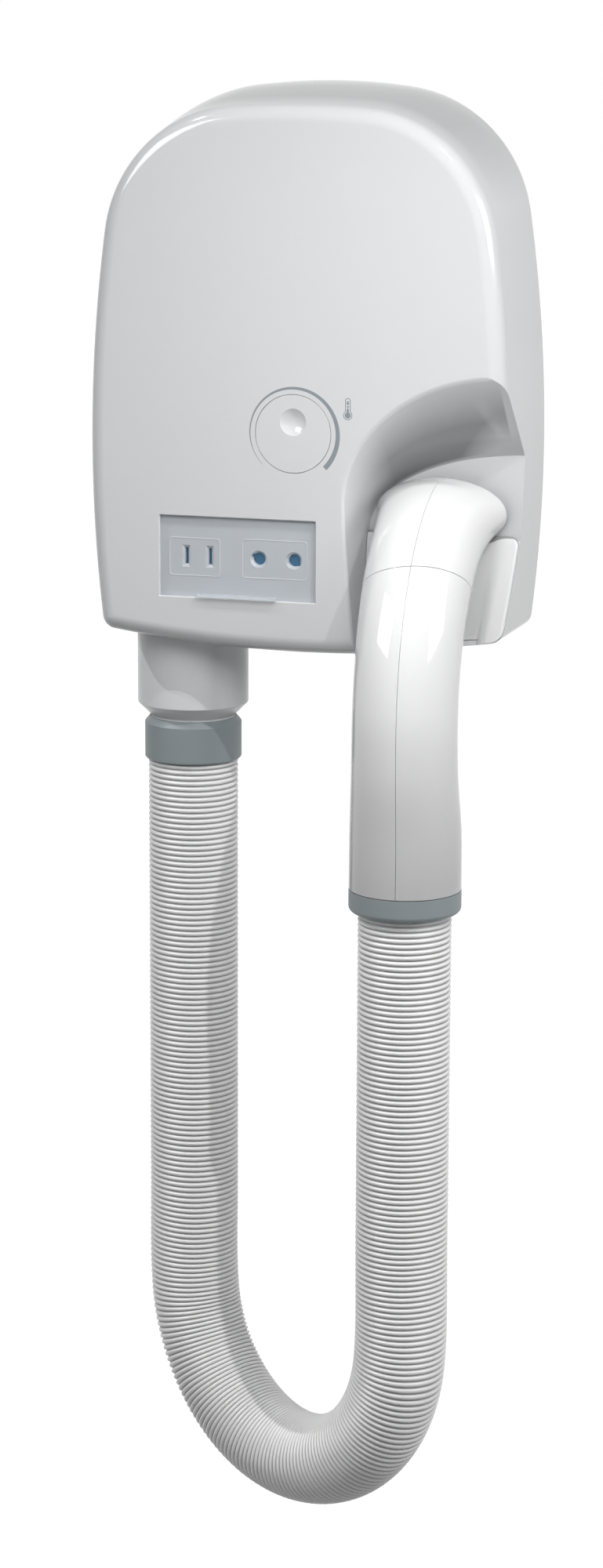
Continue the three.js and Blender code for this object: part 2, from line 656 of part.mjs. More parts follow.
function hookPlunger() {
  const tip = Array.from({ length: 6 }, (_, i) => {
    const angle = (i / 5) * (Math.PI / 2);
    return [HOOK_RADIUS * Math.sin(angle), -HOOK_RADIUS * Math.cos(angle)];
  });
  const end = frontY(BAY_DEPTH + WALL + 10) - hookTip.y;
  return turned([...tip, [HOOK_RADIUS, end], [0, end]], "y", [HOOK_X, hookTip.y, hookTip.z], 20);
}

function hookSwitch() {
  const front = frontY(BAY_DEPTH + WALL + GAP);
  const [half, high, deep, bore] = [10, 6, 16, 12];
  const body = box(
    [HOOK_X - half, front, hookTip.z - high], [HOOK_X + half, front + deep, hookTip.z + high]);
  return body.subtract(
    rod(HOOK_RADIUS + GAP, front - 1, front + bore, "y", [HOOK_X, 0, hookTip.z]));
}

// ----- the dial

function dial() {
  const [skirt, hub] = [WALL + GAP, WALL + GAP + 1.4];
  const profile = [[0, 0], [DIAL_RADIUS - 0.4, 0], [DIAL_RADIUS, 0.4], [DIAL_RADIUS, skirt],
    [DIAL_RADIUS + DIAL_FLANGE, skirt], [DIAL_RADIUS + DIAL_FLANGE, hub],
    [SHAFT_RADIUS + HUB_WALL, hub], [SHAFT_RADIUS + HUB_WALL, HUB_REAR_DEPTH],
    [SHAFT_RADIUS + GAP, HUB_REAR_DEPTH], [SHAFT_RADIUS + GAP, SHAFT_FRONT_DEPTH],
    [0, SHAFT_FRONT_DEPTH]];
  const disc = turned(profile, "y", [0, frontY(0), DIAL_Z], 48);
  const sphereRadius = (DIMPLE_RADIUS ** 2 + DIMPLE_DEPTH ** 2) / (2 * DIMPLE_DEPTH);
  const ball = new THREE.SphereGeometry(sphereRadius, 30, 22);
  ball.translate(0, frontY(DIMPLE_DEPTH - sphereRadius), DIAL_Z + DIMPLE_RISE);
  return disc.subtract(solid(ball));
}

const dialShaft = () =>
  rod(SHAFT_RADIUS, frontY(SHAFT_FRONT_DEPTH + GAP), frontY(SHAFT_REAR_DEPTH), "y", [0, 0, DIAL_Z]);

const boardPosts = () =>
  [POST.left, POST.right].flatMap((x) => [[x, DIAL_Z - POST.half], [x, DIAL_Z + POST.half]]);

function dialSwitch() {
  const body = box([-SWITCH_HALF, frontY(SWITCH_FRONT_DEPTH), DIAL_Z - SWITCH_HALF],
    [SWITCH_HALF, frontY(BOARD_DEPTH - GAP), DIAL_Z + SWITCH_HALF]);
  const neck = rod(SWITCH_NECK_RADIUS, frontY(HUB_REAR_DEPTH + GAP),
    frontY(SWITCH_FRONT_DEPTH + 1), "y", [0, 0, DIAL_Z]);
  const bore = rod(SHAFT_RADIUS + GAP, frontY(HUB_REAR_DEPTH - 1), frontY(SHAFT_REAR_DEPTH + 1),
    "y", [0, 0, DIAL_Z]);
  return body.add(neck).subtract(bore);
}

const circuitBoard = () =>
  box([BOARD.left, frontY(BOARD_DEPTH), DIAL_Z - BOARD.half],
    [BOARD.right, frontY(BOARD_DEPTH + BOARD_THICK), DIAL_Z + BOARD.half]);

// ----- the shaver sockets

// The flap's hinge line, along its top edge.
const flapAxis = {
  y: frontY(FLAP_DEPTH + FLAP_THICK / 2),
  z: SOCKET_Z + SOCKET_HEIGHT / 2 - GAP - FLAP_THICK / 2,
};
const CONTACT_REAR_DEPTH = BLOCK_REAR_DEPTH - 1.6;

const pair = (middle, pitch) => [middle - pitch / 2, middle + pitch / 2];
const flatPins = () => pair(FLAT_PIN_X, FLAT_PIN_PITCH);
const roundPins = () => pair(ROUND_PIN_X, ROUND_PIN_PITCH);

function socketFlap() {
  const [halfWidth, low] = [SOCKET_WIDTH / 2 - GAP, SOCKET_Z - SOCKET_HEIGHT / 2 + GAP];
  const [front, rear] = [frontY(FLAP_DEPTH), frontY(FLAP_DEPTH + FLAP_THICK)];
  const shape = new THREE.Shape();
  shape.moveTo(front, low + 0.4);
  shape.lineTo(front + 0.4, low);
  shape.lineTo(rear, low);
  shape.lineTo(rear, flapAxis.z);
  shape.absarc(flapAxis.y, flapAxis.z, FLAP_THICK / 2, 0, Math.PI);
  const [left, right] = [SOCKET_X - halfWidth, SOCKET_X + halfWidth];
  const panel = extruded(shape, left, right, "x");
  const pins = rod(FLAP_PIN_RADIUS, -halfWidth - 2, halfWidth + 2, "x",
    [SOCKET_X, flapAxis.y, flapAxis.z], 12);
  const tab = box(
    [SOCKET_X - FLAP_TAB.wide / 2, front - FLAP_TAB.proud, low],
    [SOCKET_X + FLAP_TAB.wide / 2, front + 0.5, low + FLAP_TAB.high / 2]);
  return unite([panel, pins, tab]);
}

// A slot or hole whose front edge is bevelled.
function bevelledSlot(x) {
  const rectangle = (wide, high, depth) => [[-1, -1], [1, -1], [1, 1], [-1, 1]].map(([u, v]) =>
    [x + (u * wide) / 2, frontY(depth), SOCKET_Z + (v * high) / 2]);
  const front = PLATE_FRONT_DEPTH;
  return loft([
    rectangle(SLOT.bevelWide + 0.4, SLOT.bevelHigh + 0.4, front - 0.2),
    rectangle(SLOT.wide, SLOT.high, front + 1.3),
    rectangle(SLOT.wide, SLOT.high, PLATE_REAR_DEPTH + 1),
  ]);
}

function bevelledHole(x) {
  const { radius, bevelRadius } = PIN_HOLE;
  const front = PLATE_FRONT_DEPTH;
  const profile = [[0, front - 0.2], [bevelRadius + 0.2, front - 0.2], [radius, front + 1.3],
    [radius, PLATE_REAR_DEPTH + 1], [0, PLATE_REAR_DEPTH + 1]];
  return turned(profile, "y", [x, frontY(0), SOCKET_Z], 28);
}

function socketPlate() {
  const [front, rear] = [frontY(PLATE_FRONT_DEPTH), frontY(PLATE_REAR_DEPTH)];
  const plate = extruded(
    roundedRect(SOCKET_X, SOCKET_Z, SOCKET_WIDTH + 5, SOCKET_HEIGHT + 5, 2), front, rear, "y");
  const pinRelief = rod(FLAP_PIN_RADIUS + 2 * GAP, -SOCKET_WIDTH / 2 - 3, SOCKET_WIDTH / 2 + 3,
    "x", [SOCKET_X, flapAxis.y, flapAxis.z], 12);
  return cutAll(plate, [
    pinRelief, ...flatPins().map(bevelledSlot), ...roundPins().map(bevelledHole)]);
}

function socketBlock() {
  const [front, rear] = [frontY(PLATE_REAR_DEPTH + GAP), frontY(BLOCK_REAR_DEPTH)];
  const block = extruded(
    roundedRect(SOCKET_X, SOCKET_Z, SOCKET_WIDTH - 4, SOCKET_BLOCK_HEIGHT, 2), front, rear, "y");
  const floor = frontY(CONTACT_REAR_DEPTH + GAP);
  const flatRooms = flatPins().map((x) =>
    box([x - 2, front - 1, SOCKET_Z - 4.7], [x + 2, floor, SOCKET_Z + 4.7]));
  const roundRooms = roundPins().map((x) =>
    rod(3.5 + GAP, front - 1, floor, "y", [x, 0, SOCKET_Z], 28));
  return cutAll(block, [...flatRooms, ...roundRooms]);
}

// A folded spring clip that grips a flat pin.
function flatContact(x) {
  const [front, rear] = [frontY(PLATE_REAR_DEPTH + 2 * GAP), frontY(CONTACT_REAR_DEPTH)];
  const fold = box([x - 1.7, front, SOCKET_Z - 4.2], [x + 1.7, rear, SOCKET_Z + 4.2]);
  return fold.subtract(box([x - 1, front - 1, SOCKET_Z - 5], [x + 1, rear - 1, SOCKET_Z + 5]));
}

// A split sleeve that grips a round pin.
function roundContact(x) {
  const [front, rear] = [frontY(PLATE_REAR_DEPTH + 2 * GAP), frontY(CONTACT_REAR_DEPTH)];
  const tube = rod(3.5, front, rear, "y", [x, 0, SOCKET_Z], 28);
  const bore = rod(2.8, front - 1, rear - 1, "y", [x, 0, SOCKET_Z], 28);
  return tube.subtract(bore).subtract(box(
    [x - 0.5, front - 1, SOCKET_Z], [x + 0.5, rear - 1, SOCKET_Z + 5]));
}

// ----- the isolating transformer of the sockets

const CORE = {
  left: -30,
  right: 14,
  low: BOTTOM_Z + 21.2,
  high: BOTTOM_Z + 59.2,
  front: HOUSING_DEPTH - 30,
  rear: HOUSING_DEPTH - 10,
};
const CORE_LEG = 12;
const CORE_YOKE = 7;

function transformerCore() {
  const { left, right, low, high, front, rear } = CORE;
  const middle = (left + right) / 2;
  const window = (from, to) =>
    box([from, frontY(front) - 1, low + CORE_YOKE], [to, frontY(rear) + 1, high - CORE_YOKE]);
  return cutAll(box([left, frontY(front), low], [right, frontY(rear), high]), [
    window(left + CORE_YOKE, middle - CORE_LEG / 2),
    window(middle + CORE_LEG / 2, right - CORE_YOKE),
  ]);
}

function transformerCoil() {
  const { left, right, low, high, front, rear } = CORE;
  const middle = (left + right) / 2;
  const around = (grow, back) => [
    [middle - CORE_LEG / 2 - grow, frontY(front) - back],
    [middle + CORE_LEG / 2 + grow, frontY(rear) + back]];
  const span = [low + CORE_YOKE + GAP, high - CORE_YOKE - GAP];
  const reach = (right - left - CORE_LEG) / 2 - CORE_YOKE - GAP;
  const [outerLow, outerHigh] = around(reach, HOUSING_DEPTH - PLATE - GAP - rear);
  const [innerLow, innerHigh] = around(GAP, GAP);
  return box([...outerLow, span[0]], [...outerHigh, span[1]])
    .subtract(box([...innerLow, span[0] - 1], [...innerHigh, span[1] + 1]));
}

// ----- the blower

// The scroll's outline: a growing spiral that runs out into a straight outlet.
function scrollShape(wall) {
  const [start, sweep, steps] = [215, 325, 20];
  const points = [];
  for (let i = 0; i <= steps; i++) {
    const angle = THREE.MathUtils.degToRad(start + (sweep * i) / steps);
    const radius = THREE.MathUtils.lerp(SCROLL_START_RADIUS, SCROLL_END_RADIUS, i / steps) - wall;
    points.push([FAN_X + radius * Math.cos(angle), FAN_Z + radius * Math.sin(angle)]);
  }
  const { left, right, end } = SCROLL_OUTLET;
  const past = wall ? end - 5 : end;
  points.push([left + wall, past], [right - wall, past]);
  return polygon(points);
}

function fanHousing() {
  const rear = HOUSING_DEPTH - PLATE - GAP;
  const outer = extruded(scrollShape(0), frontY(SCROLL_FRONT_DEPTH), frontY(rear), "y");
  const inner = extruded(scrollShape(SCROLL_WALL),
    frontY(SCROLL_FRONT_DEPTH + SCROLL_WALL), frontY(rear - SCROLL_WALL), "y");
  const inlet = rod(INLET_RADIUS, frontY(SCROLL_FRONT_DEPTH - 1),
    frontY(SCROLL_FRONT_DEPTH + 5), "y", [FAN_X, 0, FAN_Z], 40);
  return outer.subtract(inner).subtract(inlet);
}

const SCROLL_FLOOR_DEPTH = HOUSING_DEPTH - PLATE - GAP - SCROLL_WALL;
const WHEEL_FRONT_DEPTH = SCROLL_FRONT_DEPTH + SCROLL_WALL + 2;
const WHEEL_REAR_DEPTH = SCROLL_FLOOR_DEPTH - 3;
const WHEEL_DISC_DEPTH = SCROLL_FRONT_DEPTH + 16;
const MOTOR_FRONT_DEPTH = WHEEL_DISC_DEPTH + 5;

// A squirrel-cage wheel: forward-curved blades between two rings, on a disc with a hub.
function fanImpeller() {
  const at = [FAN_X, frontY(0), FAN_Z];
  const ring = (depth) =>
    sleeve(WHEEL_RADIUS, WHEEL_EYE_RADIUS, depth, depth + 1.5, "y", at, 28);
  const disc = rod(WHEEL_EYE_RADIUS + 3, WHEEL_DISC_DEPTH, WHEEL_DISC_DEPTH + 1.5, "y", at, 28);
  const hub = rod(5, WHEEL_DISC_DEPTH - 3, WHEEL_DISC_DEPTH + 1.5, "y", at, 20);
  const bore = rod(2 + GAP, WHEEL_DISC_DEPTH - 2, WHEEL_DISC_DEPTH + 4, "y", at, 16);
  const blades = Array.from({ length: BLADES }, (_, i) =>
    extruded(bladeShape((i / BLADES) * 2 * Math.PI), frontY(WHEEL_FRONT_DEPTH + 0.5),
      frontY(WHEEL_REAR_DEPTH - 0.5), "y"));
  return unite([ring(WHEEL_FRONT_DEPTH), ring(WHEEL_REAR_DEPTH - 1.5), disc, hub, ...blades])
    .subtract(bore);
}

function bladeShape(start) {
  const [steps, sweep, thick] = [2, 0.16, 0.6];
  const side = (offset) => Array.from({ length: steps + 1 }, (_, i) => {
    const share = i / steps;
    const radius = THREE.MathUtils.lerp(WHEEL_EYE_RADIUS + 0.5, WHEEL_RADIUS - 0.5, share);
    const angle = start + sweep * share * share + offset / radius;
    return [FAN_X + radius * Math.cos(angle), FAN_Z + radius * Math.sin(angle)];
  });
  return polygon([...side(-thick), ...side(thick).reverse()]);
}

const motorShaft = () =>
  rod(2, WHEEL_DISC_DEPTH - 2 + GAP, MOTOR_FRONT_DEPTH + 8, "y", [FAN_X, frontY(0), FAN_Z], 16);

function fanMotor() {
  const [front, rear] = [MOTOR_FRONT_DEPTH, SCROLL_FLOOR_DEPTH - GAP];
  const bore = 2 + GAP;
  const profile = [[bore, front - 2], [5, front - 2], [5, front], [15, front], [16, front + 1],
    [16, rear], [0, rear], [0, front + 9], [bore, front + 9], [bore, front - 2]];
  return turned(profile, "y", [FAN_X, frontY(0), FAN_Z], 32);
}

// ----- the heater and the outlet

const HEATER_TOP_Z = SCROLL_OUTLET.end - GAP;

function heaterHousing() {
  const at = [OUTLET_X, OUTLET_Y, 0];
  const bore = HEATER_RADIUS - 1.5;
  const tube = sleeve(HEATER_RADIUS, bore, HEATER_END_Z, HEATER_TOP_Z - 1, "z", at, 36);
  const reach = HEATER_RADIUS + 0.7;
  const flange = box([OUTLET_X - reach, OUTLET_Y - reach, HEATER_TOP_Z - 3],
    [OUTLET_X + reach, -PLATE - GAP, HEATER_TOP_Z]);
  return tube.add(flange.subtract(rod(bore, -20, 20, "z", at, 36)));
}

const COIL_RADIUS = HEATER_RADIUS - 7.6;
const FRAME_HALF = COIL_RADIUS - 1.5;

// Two crossed sheets with end feet that stand on the heater housing's wall.
function heaterFrame() {
  const [low, high] = [HEATER_END_Z + 6, HEATER_TOP_Z - 6];
  const foot = HEATER_RADIUS - 1.6 - GAP;
  const sheet = (half, from, to) => [
    box([OUTLET_X - half, OUTLET_Y - 0.5, from], [OUTLET_X + half, OUTLET_Y + 0.5, to]),
    box([OUTLET_X - 0.5, OUTLET_Y - half, from], [OUTLET_X + 0.5, OUTLET_Y + half, to])];
  return unite([...sheet(FRAME_HALF, low, high), ...sheet(foot, low, low + 4),
    ...sheet(foot, high - 4, high)]);
}

// The heating wire, wound round the crossed sheets.
class CoilCurve extends THREE.Curve {
  getPoint(share, target = new THREE.Vector3()) {
    const angle = share * COIL_TURNS * 2 * Math.PI;
    const z = THREE.MathUtils.lerp(HEATER_END_Z + COIL_INSET, HEATER_TOP_Z - COIL_INSET, share);
    return target.set(
      OUTLET_X + COIL_RADIUS * Math.cos(angle), OUTLET_Y + COIL_RADIUS * Math.sin(angle), z);
  }
}

function heaterCoil() {
  const section = roundSection(COIL_WIRE_RADIUS, 5);
  const route = { steps: COIL_TURNS * 12, extrudePath: new CoilCurve() };
  return solid(new THREE.ExtrudeGeometry(section, route));
}

// A snap-disc thermostat on the front of the heater housing.
function thermalCutout() {
  const z = HEATER_TOP_Z - 24;
  const seat = OUTLET_Y - HEATER_RADIUS - GAP;
  return rod(7, seat - 5, seat, "y", [OUTLET_X, 0, z], 24)
    .add(box([OUTLET_X - 11, seat - 3.5, z - 2], [OUTLET_X + 11, seat - 2.5, z + 2]));
}

function hoseSpigot() {
  const [bore, neckBore] = [HEATER_RADIUS + GAP + 0.05, NECK_RADIUS - 2];
  const top = HEATER_END_Z - 3.5 + 7;
  const neckTop = SPIGOT_END_Z - SPIGOT_SHOULDER;
  const profile = [[bore, top], [SPIGOT_RADIUS, top], [SPIGOT_RADIUS, BOTTOM_Z + 12.7],
    [SPIGOT_RADIUS, SPIGOT_END_Z], [NECK_RADIUS + 0.4, neckTop], [NECK_RADIUS, neckTop - 0.6],
    [NECK_RADIUS, HOSE_CUFF_END_Z + 6], [neckBore, HOSE_CUFF_END_Z + 6], [neckBore, neckTop],
    [bore, SPIGOT_END_Z + 2], [bore, top]];
  return turned(profile, "z", [OUTLET_X, OUTLET_Y, 0], 36);
}

// The swivel cuff: it turns on the spigot's neck and holds the hose's end.
function hoseCuff() {
  const [outer, bore] = [HOSE_CUFF_RADIUS, NECK_RADIUS + GAP];
  const [top, end] = [HOSE_CUFF_TOP_Z, HOSE_CUFF_END_Z];
  const profile = [[bore, top], [outer, top - 3.4], [outer, end + 0.8], [outer - 0.8, end],
    [NECK_RADIUS - 1.5, end], [NECK_RADIUS - 1.5, end + 3], [bore, end + 3], [bore, top]];
  return turned(profile, "z", [OUTLET_X, OUTLET_Y, 0], 36);
}

function hose() {
  const route = new THREE.CatmullRomCurve3(HOSE_ROUTE.map((point) => new THREE.Vector3(...point)));
  const section = roundSection(HOSE_RADIUS, HOSE_SIDES);
  return solid(new THREE.ExtrudeGeometry(section, { steps: 40, extrudePath: route }));
}

// ----- the handset's pieces

const SEAM = 0.75 * GAP; // half the joint between handle and head, which lies in the bend

const handleShell = () => handsetShell(0, HEAD_START - SEAM, 12, [0, JOINT_LEAN]);
const headShell = () => handsetShell(HEAD_START + SEAM, HANDSET_LENGTH, 8, [JOINT_LEAN, 0]);

function handsetCuff() {
  const [outer, end, top] = [HANDLE_RADIUS, HANDSET_CUFF_END_Z, HANDLE_FOOT_Z - GAP];
  const [collar, bore] = [HANDLE_RADIUS - HANDSET_WALL - 2 * GAP, HOSE_RADIUS - 2];
  const profile = [[bore, end], [outer - 3, end], [outer - 1, end + 0.8], [outer, end + 2.6],
    [outer, top], [collar, top], [collar, top + CUFF_COLLAR], [bore, top + CUFF_COLLAR],
    [bore, end]];
  return turned(profile, "z", [HANDSET_X, HANDLE_Y, 0], 36);
}

// The oval grille just inside the mouth: a rim with two ribs and a row of bars.
function outletGrille() {
  const along = HANDSET_LENGTH - 4;
  const sizes = sizesAt(along);
  const oval = (inset, from, to) => {
    const shape = new THREE.Shape();
    shape.absellipse(0, 0, sizes[0] - inset, sizes[1] - inset, 0, 2 * Math.PI);
    return extruded(shape, from, to, "z");
  };
  const edge = HANDSET_WALL + GAP + 0.65;
  const window = oval(edge + 1.6, -3, 3);
  const [bars, pitch, thick] = [5, 5.4, 1.2];
  const bar = (v) => box([-40, v - thick / 2, -1.5], [40, v + thick / 2, 0.5]);
  const rib = (u) => box([u - thick / 2, -30, -1.5], [u + thick / 2, 30, 0.5]);
  const lattice = unite([
    ...Array.from({ length: bars }, (_, i) => bar((i - (bars - 1) / 2) * pitch)),
    rib(-10), rib(10)]);
  const grille = oval(edge, -1.5, 0.5).subtract(window.subtract(lattice));
  return placeOnHandset(grille, along);
}

// ----- mains connection

function terminalBlock() {
  const { x, z, wide, high, front, pitch } = TERMINAL;
  const block = box(
    [x - wide / 2, front, z - high / 2], [x + wide / 2, -PLATE - GAP, z + high / 2]);
  const wells = [x - pitch, x, x + pitch].map((at) =>
    rod(3, front - 1, front + 6, "y", [at, 0, z], 16));
  return cutAll(block, wells);
}

// ---------------------------------------------------------------- the assembly

const hairDryer = new THREE.Group();

function add(name, shape, material) {
  const mesh = new THREE.Mesh(geometryOf(shape), material);
  mesh.name = name;
  hairDryer.add(mesh);
}

const housingPlastic = () => plastic(COLOURS.housing, 0.28);
const handsetPlastic = () => plastic(COLOURS.handset, 0.18);

add("back_plate", backPlate(), plastic(COLOURS.housing, 0.5));
add("front_cover", frontCover(), housingPlastic());
screwPlaces().forEach((place, i) =>
  add(`cover_screw_${["left", "right"][i]}`, coverScrew(place), metal(COLOURS.steel)));

add("dial", dial(), housingPlastic());
add("dial_shaft", dialShaft(), metal(COLOURS.steel));
add("dial_switch", dialSwitch(), plastic(COLOURS.dark, 0.6));
add("circuit_board", circuitBoard(), plastic(COLOURS.board, 0.5));

add("socket_flap", socketFlap(), plastic(COLOURS.tint, 0.1));
add("socket_plate", socketPlate(), plastic(COLOURS.housing, 0.35));
add("socket_block", socketBlock(), plastic(COLOURS.dark, 0.6));
flatPins().forEach((x, i) =>
  add(`flat_contact_${["left", "right"][i]}`, flatContact(x), metal(COLOURS.brass)));
roundPins().forEach((x, i) =>
  add(`round_contact_${["left", "right"][i]}`, roundContact(x), metal(COLOURS.brass)));
add("transformer_core", transformerCore(), metal(COLOURS.steel, 0.6));
add("transformer_coil", transformerCoil(), metal(COLOURS.copper, 0.5));

add("fan_housing", fanHousing(), plastic(COLOURS.dark, 0.6));
add("fan_impeller", fanImpeller(), plastic(COLOURS.dark, 0.5));
add("motor_shaft", motorShaft(), metal(COLOURS.steel));
add("fan_motor", fanMotor(), metal(COLOURS.steel, 0.5));
add("heater_housing", heaterHousing(), plastic(COLOURS.dark, 0.6));
add("heater_frame", heaterFrame(), plastic(COLOURS.mica, 0.8));
add("heater_coil", heaterCoil(), metal(COLOURS.copper, 0.5));
add("thermal_cutout", thermalCutout(), metal(COLOURS.steel));
add("terminal_block", terminalBlock(), plastic(COLOURS.handset, 0.4));

add("hose_spigot", hoseSpigot(), plastic(COLOURS.spigot, 0.3));
add("hose_cuff", hoseCuff(), plastic(COLOURS.cuff, 0.4));
add("hose", hose(), plastic(COLOURS.handset, 0.35));

add("cradle", cradle(), handsetPlastic());
add("hook_plunger", hookPlunger(), plastic(COLOURS.cuff, 0.3));
add("hook_switch", hookSwitch(), plastic(COLOURS.dark, 0.6));

add("handset_cuff", handsetCuff(), plastic(COLOURS.cuff, 0.4));
[["left", -1], ["right", 1]].forEach(([name, side]) => {
  add(`handle_${name}`, halfOf(handleShell(), side), handsetPlastic());
  add(`head_${name}`, halfOf(headShell(), side), handsetPlastic());
});
add("outlet_grille", outletGrille(), plastic(COLOURS.dark, 0.5));

export default hairDryer;
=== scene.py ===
"""The looks of a wall-mounted hose hair dryer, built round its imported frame.

Run as a script it builds every visible piece, its finish and the studio. Lengths in the functions
are millimetres, with X to the right, Y into the wall and Z up, and meshes are made in metres.
"""

import bisect
import json
from contextlib import contextmanager
from math import acos, asin, atan2, cos, hypot, pi, radians, sin, sqrt

import bmesh
import bpy
from bpy.props import FloatProperty, FloatVectorProperty, PointerProperty
from mathutils import Matrix, Vector
from mathutils.kdtree import KDTree


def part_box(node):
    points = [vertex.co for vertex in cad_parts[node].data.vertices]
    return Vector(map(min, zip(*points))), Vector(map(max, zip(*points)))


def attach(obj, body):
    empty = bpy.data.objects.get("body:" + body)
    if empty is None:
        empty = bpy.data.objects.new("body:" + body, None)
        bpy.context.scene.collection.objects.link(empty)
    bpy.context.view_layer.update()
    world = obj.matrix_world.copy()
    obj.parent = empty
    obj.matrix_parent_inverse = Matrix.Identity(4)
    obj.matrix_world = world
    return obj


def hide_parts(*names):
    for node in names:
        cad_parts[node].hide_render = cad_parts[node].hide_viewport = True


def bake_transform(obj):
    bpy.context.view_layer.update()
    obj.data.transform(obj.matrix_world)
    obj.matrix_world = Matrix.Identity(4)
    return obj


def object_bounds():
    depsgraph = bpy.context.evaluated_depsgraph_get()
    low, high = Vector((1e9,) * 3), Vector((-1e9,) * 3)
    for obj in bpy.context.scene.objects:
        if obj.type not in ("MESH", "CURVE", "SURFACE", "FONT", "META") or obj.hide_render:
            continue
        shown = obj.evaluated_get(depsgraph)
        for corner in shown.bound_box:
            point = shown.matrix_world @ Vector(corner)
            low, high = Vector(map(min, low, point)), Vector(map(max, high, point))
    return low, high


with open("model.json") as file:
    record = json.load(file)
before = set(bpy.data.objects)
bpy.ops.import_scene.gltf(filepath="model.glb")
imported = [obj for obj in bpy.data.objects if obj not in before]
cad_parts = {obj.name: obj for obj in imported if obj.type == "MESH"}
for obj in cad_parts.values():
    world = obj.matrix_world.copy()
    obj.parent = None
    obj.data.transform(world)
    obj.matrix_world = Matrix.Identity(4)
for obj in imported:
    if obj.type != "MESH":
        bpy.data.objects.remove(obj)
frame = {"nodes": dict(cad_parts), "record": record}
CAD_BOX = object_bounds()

bl_info = {
    "name": "Wall-mounted hose hair dryer",
    "version": (1, 0, 0),
    "blender": (4, 5, 0),
    "location": "View3D > Sidebar > Dryer",
    "description": "Builds the pieces, finishes and studio of a bathroom hair dryer",
    "category": "Add Mesh",
}

MM = 0.001


def low(node):
    """A CAD node's lowest corner, in millimetres."""
    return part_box(node)[0] / MM


def high(node):
    """A CAD node's highest corner, in millimetres."""
    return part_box(node)[1] / MM


def middle(node):
    """The middle of a CAD node's box, in millimetres."""
    return (low(node) + high(node)) / 2


# ------------------------------------------------------------------ the frame's sizes

GAP = 0.3
WALL = 2.5
HOUSING_DEPTH = -low("front_cover").y
REAR_DEPTH = HOUSING_DEPTH + high("front_cover").y
FRONT_HALF_WIDTH = 111.3
SIDE_DRAFT = 1.8
SIDE_RADIUS = 790.0
SIDE_CENTRE_Z = -40.0
FRONT_TOP_Z = 136.0
CROWN_RISE = 9.6
FRONT_TOP_RADIUS = 488.0
REAR_TOP_RADIUS = 295.0
SHOULDER_RADIUS = 74.5
BOTTOM_Z = -144.2
BOTTOM_RADIUS = 700.0
BOTTOM_CORNER_RADIUS = 8.0
FRONT_ROUND = 9.0

BAY_DEPTH = 40.0
BAY_LIP = 1.6
BAY_FRONT = {"x": 110.0, "z": -65.0, "wide": 83.0, "high": 66.5, "foot": 33.4}
BAY_REAR = {"x": 115.0, "z": -83.0, "wide": 85.0, "high": 41.5, "foot": 33.4}
BAY_RIGHT = 130.0
BAY_LOW = -175.0

CRADLE_TOP_Z = high("cradle").z
CRADLE_TOP_DEPTH = 36.0
CRADLE_FOOT_Z = -141.0
CRADLE_FOOT_DEPTH = 18.5
CRADLE_EDGE = 5.0
CRADLE_BRIM = 2.5
DISH_TOP_HALF_WIDTH = 31.0
DISH_FOOT_HALF_WIDTH = 24.5
DISH_TOP_DEPTH = 3.0
DISH_FOOT_DEPTH = 6.5

PLUNGER_RADIUS = 3.0
PLUNGER_AXIS = (middle("hook_plunger").x, 0, middle("hook_plunger").z)

DIAL = middle("dial")
DIAL_RADIUS = 20.0

FLAP_LOW, FLAP_HIGH = low("socket_flap"), high("socket_flap")
SOCKET_X = (FLAP_LOW.x + FLAP_HIGH.x) / 2
SOCKET_Z = middle("socket_plate").z
SOCKET_WIDTH = 84.2
SOCKET_HEIGHT = 42.2
FLAP_FRONT, FLAP_REAR = 0.75, 2.25
FLAP_AXIS_Z = FLAP_HIGH.z - 0.75
TAB_HALF_WIDTH = 21.5
TAB_HEIGHT = 1.5
BORDERS = ((-67.3, -40.0, -106.0, -86.4), (-27.7, 7.0, -105.7, -85.8))
FLAT_PINS = [middle(f"flat_contact_{side}").x for side in ("left", "right")]
ROUND_PINS = [middle(f"round_contact_{side}").x for side in ("left", "right")]

OUTLET = middle("hose_spigot")
SPIGOT_RADIUS = (high("hose_spigot").x - low("hose_spigot").x) / 2
NECK_RADIUS = 22.8

HANDSET_X = middle("handset_cuff").x
HANDLE_Y = middle("handset_cuff").y
HANDLE_FOOT_Z = low("handle_left").z
HANDLE_BEND_Z = -175.5
MOUTH_Y = -45.5
MOUTH_Z = -71.6
MOUTH_TILT = radians(80)
BEND_PULL = 73.9
MOUTH_PULL = 25.4
HEAD_LENGTH = 59.4
NECK_LENGTH = 62.0
JOINT_LEAN = 0.097
SEAM_OFFSET = 2.6
HANDSET_WALL = 2.2
HANDLE_RADIUS = 28.85
WAIST_RADIUS = 27.2
MOUTH_HALF_WIDTH = 34.8
MOUTH_HALF_HEIGHT = 18.5

HOSE_ROUTE = [
    *((-69.5, -32.5, z) for z in (-211.9, -250, -300, -350, -400, -450, -500)),
    (-67.1, -33.9, -522.5),
    (-60.2, -37.8, -543.5),
    (-49.1, -44.1, -561.5),
    (-34.6, -52.4, -575.3),
    (-17.8, -62, -584),
    (0.2, -72.2, -587),
    (18.3, -82.5, -584),
    (35.1, -92.1, -575.3),
    (49.6, -100.4, -561.5),
    (60.7, -106.7, -543.5),
    (67.6, -110.6, -522.5),
    *((70, -112, z) for z in (-500, -450, -400, -350, -300, -267.6)),
]


def front_y(depth):
    """The Y of a depth measured from the housing's front face."""
    return depth - HOUSING_DEPTH


def mixed(a, b, share):
    return a + (b - a) * share


def around(u, v, radius, angle):
    """The point of a circle at an angle."""
    return u + radius * cos(angle), v + radius * sin(angle)


